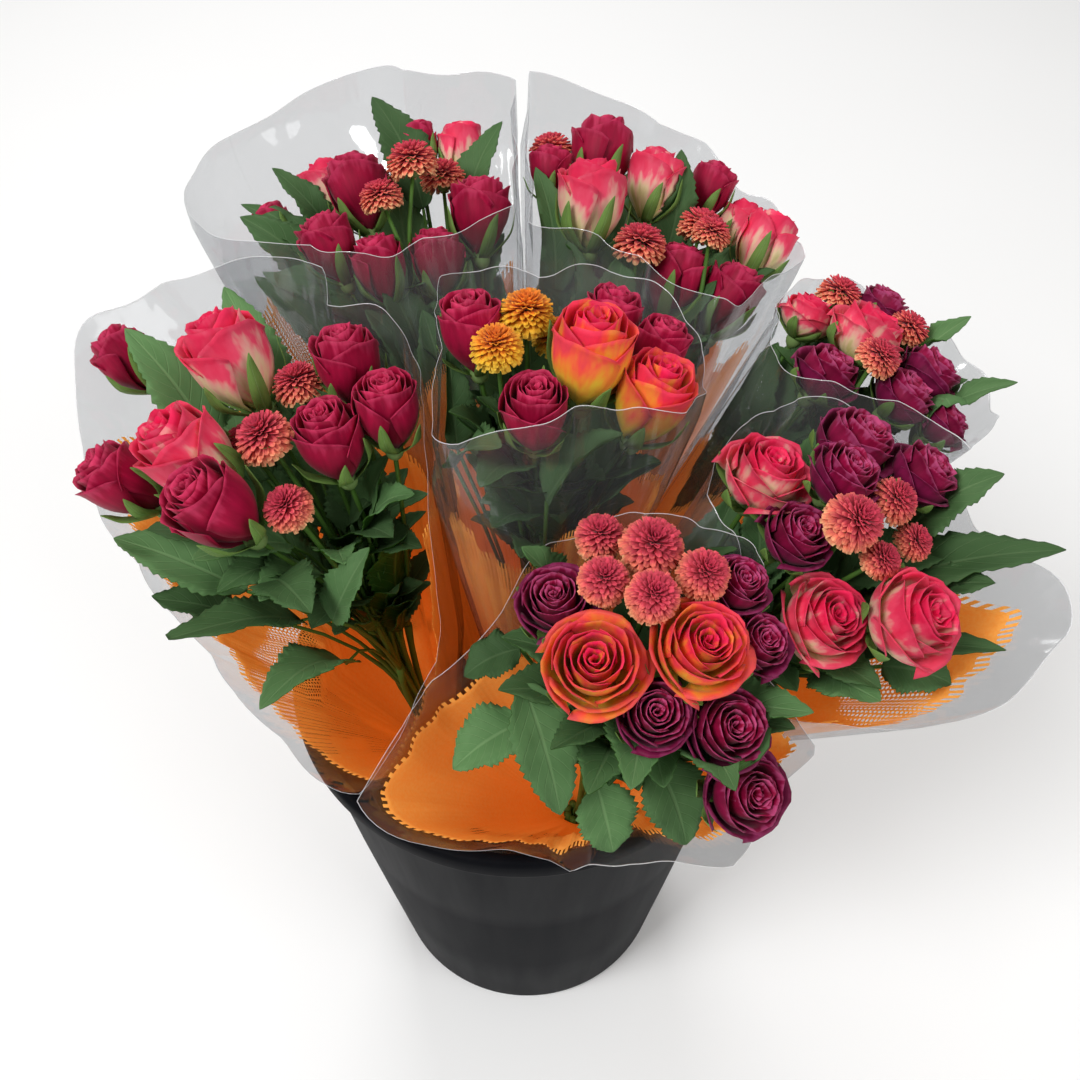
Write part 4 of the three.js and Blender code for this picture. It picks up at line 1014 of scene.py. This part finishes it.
def blade(bm, bunch, base, tip, width, rnd, detail=(6, 42)):
    """A leaf from base to tip, kept off the blooms and inside the film."""
    run = tip - base
    along = run.normalized()
    side = Vector((-along.y, along.x, 0)).normalized()
    up = along.cross(side).normalized()
    chance, sway, twist = rnd.random(), rnd.uniform(-0.08, 0.08), rnd.uniform(-0.25, 0.25)

    def place(u, v):
        # outline: half its width here, less the teeth
        outline = math.sin(math.pi * min(v, 1) ** 0.78) ** 0.72 * (1 - 0.25 * v)
        saw = (v * TEETH) % 1
        half = width / 2 * (outline * 1.12 + 0.015) * (1.05 - TOOTH_DEPTH * saw * abs(u) ** 3)
        point = base + run * v + side * (u * half + sway * run.length * math.sin(v * 3))
        # height: an arch along the rib, a valley across it, waves at the edge and a twist
        arch = math.sin(v * math.pi) * run.length * LEAF_ARCH
        drop = LEAF_DROP * run.length * v ** 3
        wave = math.sin(v * 17 - abs(u) * 4 + 6 * chance) * abs(u) * min(half / 9, 1)
        cup = abs(u) * half * LEAF_CUP + 1.3 * wave
        point += up * (arch - drop * 0.4 + cup + twist * u * half * 0.5 * v)
        for bloom in bunch["blooms"]:
            away = point - bloom["at"]
            least = bloom["radius"] + LEAF_TO_BLOOM
            if away.length < least:
                point = bloom["at"] + away.normalized() * least
        return inside_rim(bunch, held_in(bunch, point, LEAF_TO_FILM - 2))

    grid(bm, *detail, place, lambda u, v: (v, (u + 1) / 2, 0.5, chance))


print("teeth of a leaf:", TEETH)

# %% Places for the leaves
BLOOM_ROOM = 13
LISTED_STALK, SMALL_STALK = [1.8] * 4 + [1.2] * 4, [1.6] * 3 + [1.0] * 4
SMALL_STALK_SIDES = 5


def level_point(bunch, z):
    """The bunch's middle at a height, as a point."""
    return Vector((*middle_at(bunch, z), z))


def reached(bunch, turn, z, share, most=math.inf):
    """A point in one direction from the middle, at a share of the way to the film."""
    ax, ay = middle_at(bunch, z)
    reach = min(sheet_reach(bunch, turn, z) - LEAF_TO_FILM, most) * share
    return Vector((ax + math.cos(turn) * reach, ay + math.sin(turn) * reach, z))


def hides_bloom(bunch, tip):
    """Whether a leaf that ends here would lie on a bloom."""
    return any((tip - bloom["at"]).length < bloom["radius"] + BLOOM_ROOM for bloom in bunch["blooms"])


def stalk(bunch, knee, base, radii):
    """A leaf's own stem, from the tie to the leaf's foot."""
    neck = Vector((*bunch["collar"], COLLAR_TOP - NECK_POINT_DROP))
    rod(bunch["stems"], bend(neck, knee, base, len(radii) - 1), radii, SMALL_STALK_SIDES)


print("room round a bloom, mm:", BLOOM_ROOM)

# %% Leaves of every bunch
LISTED_WIDTH = 0.84
FILLERS, FILLER_DROP, FILLER_RISE = 44, 62, 34
FILLER_LEVELS, LEVEL_STEP, LEVEL_TOP = 5, 21, 24
FOLIAGE_REACH, REACH_LOSS = 80, 0.35
SHORTEST, LONGEST = 30, 64
UPRIGHTS = dict(left=8, back_left=20, back_right=20, centre=14, front=0, right=6, right_back=12)
UPRIGHT_TOP, UPRIGHT_STEP, UPRIGHT_TALL = 14, 20, 66


def filler(bm, bunch, k, rnd):
    """A leaf that leans out among the stems, under the blooms."""
    turn, low = k * GOLDEN + rnd.uniform(-0.2, 0.2), (k % FILLER_LEVELS) * LEVEL_STEP - LEVEL_TOP
    level = bunch["head"][2] - FILLER_DROP - low
    near, far = rnd.uniform(0.15, 0.4), rnd.uniform(0.72, 1.0)
    most = FOLIAGE_REACH - REACH_LOSS * low
    base = reached(bunch, turn, level - FILLER_RISE, near, most)
    tip = reached(bunch, turn, level + rnd.uniform(0, 18), far, most)
    if (tip - base).length <= SHORTEST or hides_bloom(bunch, tip):
        return
    reach = min((tip - base).length, LONGEST)
    base = tip + (base - tip).normalized() * reach
    blade(bm, bunch, base, tip, reach * rnd.uniform(0.48, 0.6), rnd)
    stalk(bunch, level_point(bunch, level - 60), base, SMALL_STALK)


def upright(bm, bunch, k, rnd):
    """A leaf that stands upright between the blooms and the film."""
    turn, top = k * GOLDEN + rnd.uniform(-0.2, 0.2), bunch["head"][2] - UPRIGHT_TOP - (k % 3) * UPRIGHT_STEP
    base = reached(bunch, turn, top - UPRIGHT_TALL, 0.46)
    tip = reached(bunch, turn, top, rnd.uniform(0.74, 0.95))
    blade(bm, bunch, base, tip, rnd.uniform(32, 40), rnd)
    stalk(bunch, level_point(bunch, top - 90), base, SMALL_STALK)


for bunch in BUNCHES:
    rnd = random.Random(bunch["name"])
    bm = new_mesh()
    for bx, by, bz, tx, ty, tz, width in bunch["leaves"]:
        base = held_in(bunch, Vector((bx, by, bz)), LEAF_TO_FILM + 3)
        tip = held_in(bunch, Vector((tx, ty, tz)), LEAF_TO_FILM)
        blade(bm, bunch, base, tip, width * LISTED_WIDTH, rnd)
        stalk(bunch, Vector((*bunch["waist"], RIM_LEVEL)), base, LISTED_STALK)
    for k in range(FILLERS):
        filler(bm, bunch, k, rnd)
    for k in range(UPRIGHTS[bunch["name"]]):
        upright(bm, bunch, k, rnd)
    name, nodes = bunch["name"], [f"{bunch['name']}_leafy_stems"]
    leaves = finished(bm, f"{name}_leaves", [leaf_top, leaf_under], nodes,
                      thick=0.35, back=1, outward=False)
    stems = finished(bunch["stems"], f"{name}_stems", [stem_green], nodes)
    print(name, "faces of leaves and stems:", len(leaves.data.polygons), len(stems.data.polygons))

# %% [markdown]
# ## Clear film sleeves
# A sleeve is one thin sheet: tied at its neck, leaning out round the blooms and cut off in a
# wavy rim. It is a grid wound into a cone, with creases that run up from the neck. The film is
# almost clear, so it needs its own recipe: mostly see-through, a little grey haze, and a glossy
# coat that grows towards grazing angles. Its cut edge catches light and is drawn whiter.

# %% Film material
def glossiness(add, least, most, power):
    """More gloss where the film is seen at a slant, the same on both of its sides."""
    facing = add("ShaderNodeLayerWeight", {"Blend": 0.5}).outputs["Facing"]
    return ranged(add, calc(add, "POWER", facing, power), (0, 1), (least, most))


def film_material():
    """Thin clear film: a grey tint, a little haze, soft creases and a bright cut edge.

    It lets nearly all of the light in, because film this thin casts next to no shadow.
    """
    material, tree, shader, add = make_material("clear_film")
    along, across, layer, chance = tone_of(add)
    shadow = add("ShaderNodeLightPath").outputs["Is Shadow Ray"]
    tint = mixed(add, shadow, (0.822, 0.828, 0.836, 1), (0.985, 0.985, 0.985, 1))
    see_through = add("ShaderNodeBsdfTransparent", {"Color": tint})
    haze = add("ShaderNodeBsdfDiffuse", {"Color": (0.95, 0.96, 0.98, 1)})
    edge = ranged(add, layer, (0.5, 1.0), (0.022, 0.8))
    crease = ranged(add, chance, (0.8, 1.0), (0.0, 0.10))
    amount = calc(add, "MAXIMUM", edge, crease)
    body = add("ShaderNodeMixShader", {0: amount, 1: see_through.outputs[0], 2: haze.outputs[0]})
    tall = add("ShaderNodeMapping", {"Vector": own_place(add), "Scale": (34.0, 34.0, 7.0)}).outputs[0]
    relief = raised(add, noise(add, tall, 1.0), 0.6, 0.006)
    gloss = add("ShaderNodeBsdfAnisotropic", {"Color": (1, 1, 1, 1), "Roughness": 0.10, "Normal": relief})
    share = glossiness(add, 0.03, 0.35, 3.5)
    final = add("ShaderNodeMixShader", {0: share, 1: body.outputs[0], 2: gloss.outputs[0]})
    tree.links.new(final.outputs[0], tree.nodes["Material Output"].inputs["Surface"])
    return material


clear_film = film_material()
print("film nodes:", len(clear_film.node_tree.nodes))

# %% [markdown]
# ## Orange net
# The net is a soft woven sheet. It is too fine to model strand by strand, so its holes are cut by
# the material: a brick pattern of round holes, open only in patches, and comb teeth along its cut
# edge. Light passes through it as well as off it. A weak glow of its own is painted light: it
# brightens the net where it lies in shade.

# %% Net material
HOLES_AROUND, HOLES_UP = 230.0, 150.0


def net_material():
    """Orange net: a soft sheet with rows of holes, closed up in places, a toothed edge and a weak painted
    glow.
    """
    material, tree, shader, add = make_material("orange_net")
    along, across, layer, chance = tone_of(add)
    spot = own_place(add)
    patch = noise(add, spot, 11.0)
    around = calc(add, "MULTIPLY", across, HOLES_AROUND)
    upward = calc(add, "MULTIPLY", along, HOLES_UP)
    half_row = calc(add, "MULTIPLY", calc(add, "FLOOR", around), 0.5)
    across_cell = calc(add, "FRACT", around)
    up_cell = calc(add, "FRACT", calc(add, "ADD", upward, half_row))
    off = add("ShaderNodeCombineXYZ", {"X": calc(add, "SUBTRACT", across_cell, 0.5),
                                       "Y": calc(add, "SUBTRACT", up_cell, 0.5)}).outputs[0]
    far = add("ShaderNodeVectorMath", {0: off}, operation="LENGTH").outputs["Value"]
    hole = calc(add, "LESS_THAN", far, ranged(add, patch, (0.55, 0.60), (0.0, 0.34)))
    fringe = calc(add, "GREATER_THAN", layer, 0.5)
    cut = calc(add, "MULTIPLY", calc(add, "LESS_THAN", across_cell, 0.5), fringe)
    open_share = calc(add, "MAXIMUM", hole, cut)
    colour = mixed(add, noise(add, spot, 500.0), (1.0, 0.42, 0.06, 1), (1.0, 0.60, 0.16, 1))
    front = add("ShaderNodeBsdfDiffuse", {"Color": colour, "Normal": raised(add, far, 0.35, 0.0008)})
    through = add("ShaderNodeBsdfTranslucent", {"Color": colour})
    soft = add("ShaderNodeMixShader", {0: 0.28, 1: front.outputs[0], 2: through.outputs[0]})
    # painted light: a weak orange glow that brightens the net where it lies in shade
    painted_glow = add("ShaderNodeEmission", {"Color": (1.0, 0.27, 0.03, 1), "Strength": 0.11})
    lit = add("ShaderNodeAddShader", {0: soft.outputs[0], 1: painted_glow.outputs[0]})
    clear = add("ShaderNodeBsdfTransparent")
    final = add("ShaderNodeMixShader", {0: open_share, 1: lit.outputs[0], 2: clear.outputs[0]})
    tree.links.new(final.outputs[0], tree.nodes["Material Output"].inputs["Surface"])
    return material


orange_net = net_material()
print("net nodes:", len(orange_net.node_tree.nodes))

# %% [markdown]
# ## Winding the sheets
# Film and net are wound in the same way: a flat grid is bent round the bunch, each of its points at
# the film's reach in its direction. Waves of three sizes press creases into it. The seam is closed
# by merging its two edges. The area of each sheet is summed and printed; sleeves and nets come
# from rolls of a known length, and the width is what is gathered round the bunch.

# %% Wind a sheet round a bunch
MERGED = 0.02
CREASE_START, CREASE_FULL = 10, 150
RUFFLES, RUFFLE_DEPTH = 7, 3


def wound_sheet(bunch, inset, creases, depth, top_of, columns, rows, rim=0.0):
    """A grid wound round the bunch from its neck to a rim. Creases only press it inwards.

    Where rim is given, the last row is a narrow band of that height, the cut edge.
    """
    bm = new_mesh()
    layer = bm.verts.layers.float_color["tone"]
    rnd = random.Random(bunch["name"] + str(creases))
    waves = [(rnd.randint(*span), rnd.uniform(0, 6.3), rnd.uniform(0.5, 1)) for span in creases]
    heavy = sum(w[2] for w in waves)
    made = bmesh.ops.create_grid(bm, x_segments=columns, y_segments=rows, size=1)["verts"]
    for vert in made:
        turn = (vert.co.x + 1) * math.pi
        v = (vert.co.y + 1) / 2
        top, at_top = top_of(turn), v > 0.999
        if at_top and rim:
            z = top
        else:
            z = COLLAR_LOW + (top - rim - COLLAR_LOW) * (v * (rows / (rows - 1)) if rim else v)
        rise = soft_step(z, COLLAR_TOP + CREASE_START, COLLAR_TOP + CREASE_FULL)
        fold = 0
        for count, phase, strength in waves:
            fold += strength * (1 - abs(math.sin(turn * count / 2 + phase + 0.004 * (z - 200))))
        fold /= heavy
        own_inset = inset if z > COLLAR_TOP else inset * 0.5
        reach = film_reach(bunch, turn, z) - own_inset - depth * rise * fold
        above = soft_step(z, bunch["head"][2] - 40, bunch["head"][2] + 60)
        reach -= above * RUFFLE_DEPTH * (1 + math.sin(turn * RUFFLES + waves[0][1]))
        ax, ay = middle_at(bunch, z)
        vert.co = Vector((ax + math.cos(turn) * reach, ay + math.sin(turn) * reach, z))
        vert[layer] = (v, turn / FULL_TURN, 1.0 if at_top else 0.0, min(fold * 1.15, 1) * rise)
    bmesh.ops.remove_doubles(bm, verts=bm.verts, dist=MERGED)
    return bm


print("creases reach their full depth", CREASE_FULL, "mm above the tie")

# %% Film and net of every bunch
FILM_CREASES, FILM_CREASE_DEPTH, FILM_INSET = [(5, 7), (11, 15), (22, 30)], 2.6, 0.3
NET_CREASES, NET_CREASE_DEPTH, NET_INSET = [(7, 9), (16, 20), (30, 40)], 6.0, 4.2
NET_POINTS, NET_BELOW_FILM = 6, 12


def declared(piece):
    area = sum(polygon.area for polygon in piece.data.polygons)
    return round(area, 3)


for bunch in BUNCHES:
    name = bunch["name"]
    phase = random.Random(name + "rim").uniform(0, 6.3)

    def film_top(turn):
        return film_edge(bunch, turn) + 4 * math.sin(turn * 3 + phase) + 2 * math.sin(turn * 11 + phase)

    bm = wound_sheet(bunch, FILM_INSET, FILM_CREASES, FILM_CREASE_DEPTH, film_top, 180, 30, rim=1.1)
    film = finished(bm, f"{name}_film", [clear_film], [f"{name}_clear_sleeve"], thick=0.1)
    film_area = declared(film)

    top, peak = bunch["net"]

    def net_top(turn):
        points = abs((turn * NET_POINTS / FULL_TURN + 0.25) % 1 - 0.5) * 4 - 1
        fringe = 1.6 * math.sin(turn * 168) + 1.2 * math.sin(turn * 47 + phase)
        return min(top + peak * points, film_edge(bunch, turn) - NET_BELOW_FILM) + fringe

    bm = wound_sheet(bunch, NET_INSET, NET_CREASES, NET_CREASE_DEPTH, net_top, 336, 26)
    net = finished(bm, f"{name}_net", [orange_net], [f"{name}_orange_net"], thick=0.25)
    net_area = declared(net)
    print(name, "film and net, square metres:", film_area, net_area)

# %% [markdown]
# ## Bands, bucket and water
# The band is a rubber ring wound a few times round the neck. The bucket is spun from a profile: a
# tapered wall, a rolled lip and a rounded foot. Its plastic is satin, with fine scratches. The
# water keeps its CAD shape and only gets a finish.

# %% Bands
CORD_RADIUS, CORD_STEP, BAND_WINDS = 1.15, 2.2, 3
BAND_RADIUS = NECK + 1.6
BAND_LEVEL = COLLAR_LOW + 7

rubber, tree, shader, add = make_material("rubber_band")
speckle = noise(add, own_place(add), 300.0)
colour = mixed(add, speckle, (0.42, 0.32, 0.16, 1), (0.58, 0.47, 0.28, 1))
tree.links.new(colour, shader.inputs["Base Color"])
shader.inputs["Roughness"].default_value = 0.6

for bunch in BUNCHES:
    bm = new_mesh()
    for wind in range(BAND_WINDS):
        upright_ring = Matrix.Rotation(math.pi / 2, 4, "X")
        place = Matrix.Translation((BAND_RADIUS, 0, wind * CORD_STEP)) @ upright_ring
        circle = bmesh.ops.create_circle(bm, segments=10, radius=CORD_RADIUS, matrix=place)["verts"]
        edges = {edge for vert in circle for edge in vert.link_edges}
        bmesh.ops.spin(bm, geom=circle + list(edges), cent=(0, 0, 0), axis=(0, 0, 1),
                       angle=FULL_TURN, steps=36, use_merge=True)
    bmesh.ops.remove_doubles(bm, verts=bm.verts, dist=0.001)
    bmesh.ops.translate(bm, vec=(*bunch["collar"], BAND_LEVEL), verts=bm.verts)
    band = finished(bm, f"{bunch['name']}_band", [rubber], [f"{bunch['name']}_tie"])
print("faces of a band:", len(band.data.polygons))

# %% Bucket plastic
plastic, tree, shader, add = make_material("bucket_plastic")
spot = own_place(add)
stretched = add("ShaderNodeMapping", {"Vector": spot, "Scale": (60.0, 60.0, 5.0)}).outputs[0]
scuffs = noise(add, stretched, 1.0, 6.0)
colour = mixed(add, scuffs, (0.003, 0.0032, 0.0042, 1), (0.006, 0.0065, 0.0085, 1))
tree.links.new(colour, shader.inputs["Base Color"])
tree.links.new(ranged(add, scuffs, (0, 1), (0.42, 0.58)), shader.inputs["Roughness"])
shader.inputs["Specular IOR Level"].default_value = 0.025
tree.links.new(raised(add, noise(add, spot, 900.0), 0.08, 0.0004), shader.inputs["Normal"])
print("plastic nodes:", len(tree.nodes))

# %% Bucket
PROFILE = [
    # radius, height: up the outside, over the lip, down the inside
    (0, 1.2), (70, 1.2), (98, 0), (104, 0), (107, 1), (108.6, 3.6), (120, 96), (131, 188), (143.4, 303),
    (147, 303.4), (149.2, 304.6), (150, 307), (150, 316), (149.2, 318.8), (147.2, 320), (144, 320),
    (141.8, 319), (141.2, 316), (140.8, 304), (128.4, 188), (117.4, 96), (106.4, 5), (104, 3), (0, 3),
]
bm = new_mesh()
verts = [bm.verts.new((radius, 0, z)) for radius, z in PROFILE]
edges = [bm.edges.new(pair) for pair in zip(verts, verts[1:])]
bmesh.ops.spin(bm, geom=verts + edges, cent=(0, 0, 0), axis=(0, 0, 1),
               angle=FULL_TURN, steps=128, use_merge=True)
bmesh.ops.remove_doubles(bm, verts=bm.verts, dist=0.001)
bucket = finished(bm, "smooth_bucket", [plastic], ["bucket"])
print("bucket faces:", len(bucket.data.polygons))

# %% Water
water, tree, shader, add = make_material("water")
shader.inputs["Base Color"].default_value = (0.62, 0.70, 0.66, 1)
shader.inputs["Transmission Weight"].default_value = 0.8
shader.inputs["Roughness"].default_value = 0.03
shader.inputs["IOR"].default_value = 1.33
ripples = noise(add, own_place(add), 30.0)
tree.links.new(raised(add, ripples, 0.1, 0.002), shader.inputs["Normal"])
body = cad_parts["water"]
body.data.materials.clear()
body.data.materials.append(water)
print("water materials:", len(body.data.materials))

# %% Floor
FLOOR_SIZE, FLOOR_DROP = 6, 0.0005

pale, tree, shader, add = make_material("pale_floor")
cloud = noise(add, own_place(add), 2.0)
colour = mixed(add, cloud, (0.90, 0.90, 0.90, 1), (0.93, 0.93, 0.93, 1))
tree.links.new(colour, shader.inputs["Base Color"])
shader.inputs["Roughness"].default_value = 0.7
bm = bmesh.new()
bmesh.ops.create_grid(bm, x_segments=1, y_segments=1, size=FLOOR_SIZE)
mesh = bpy.data.meshes.new("floor")
bm.to_mesh(mesh)
bm.free()
mesh.materials.append(pale)
floor = bpy.data.objects.new("floor", mesh)
floor.location.z = -FLOOR_DROP
bpy.context.scene.collection.objects.link(floor)
print("floor side, m:", 2 * FLOOR_SIZE)
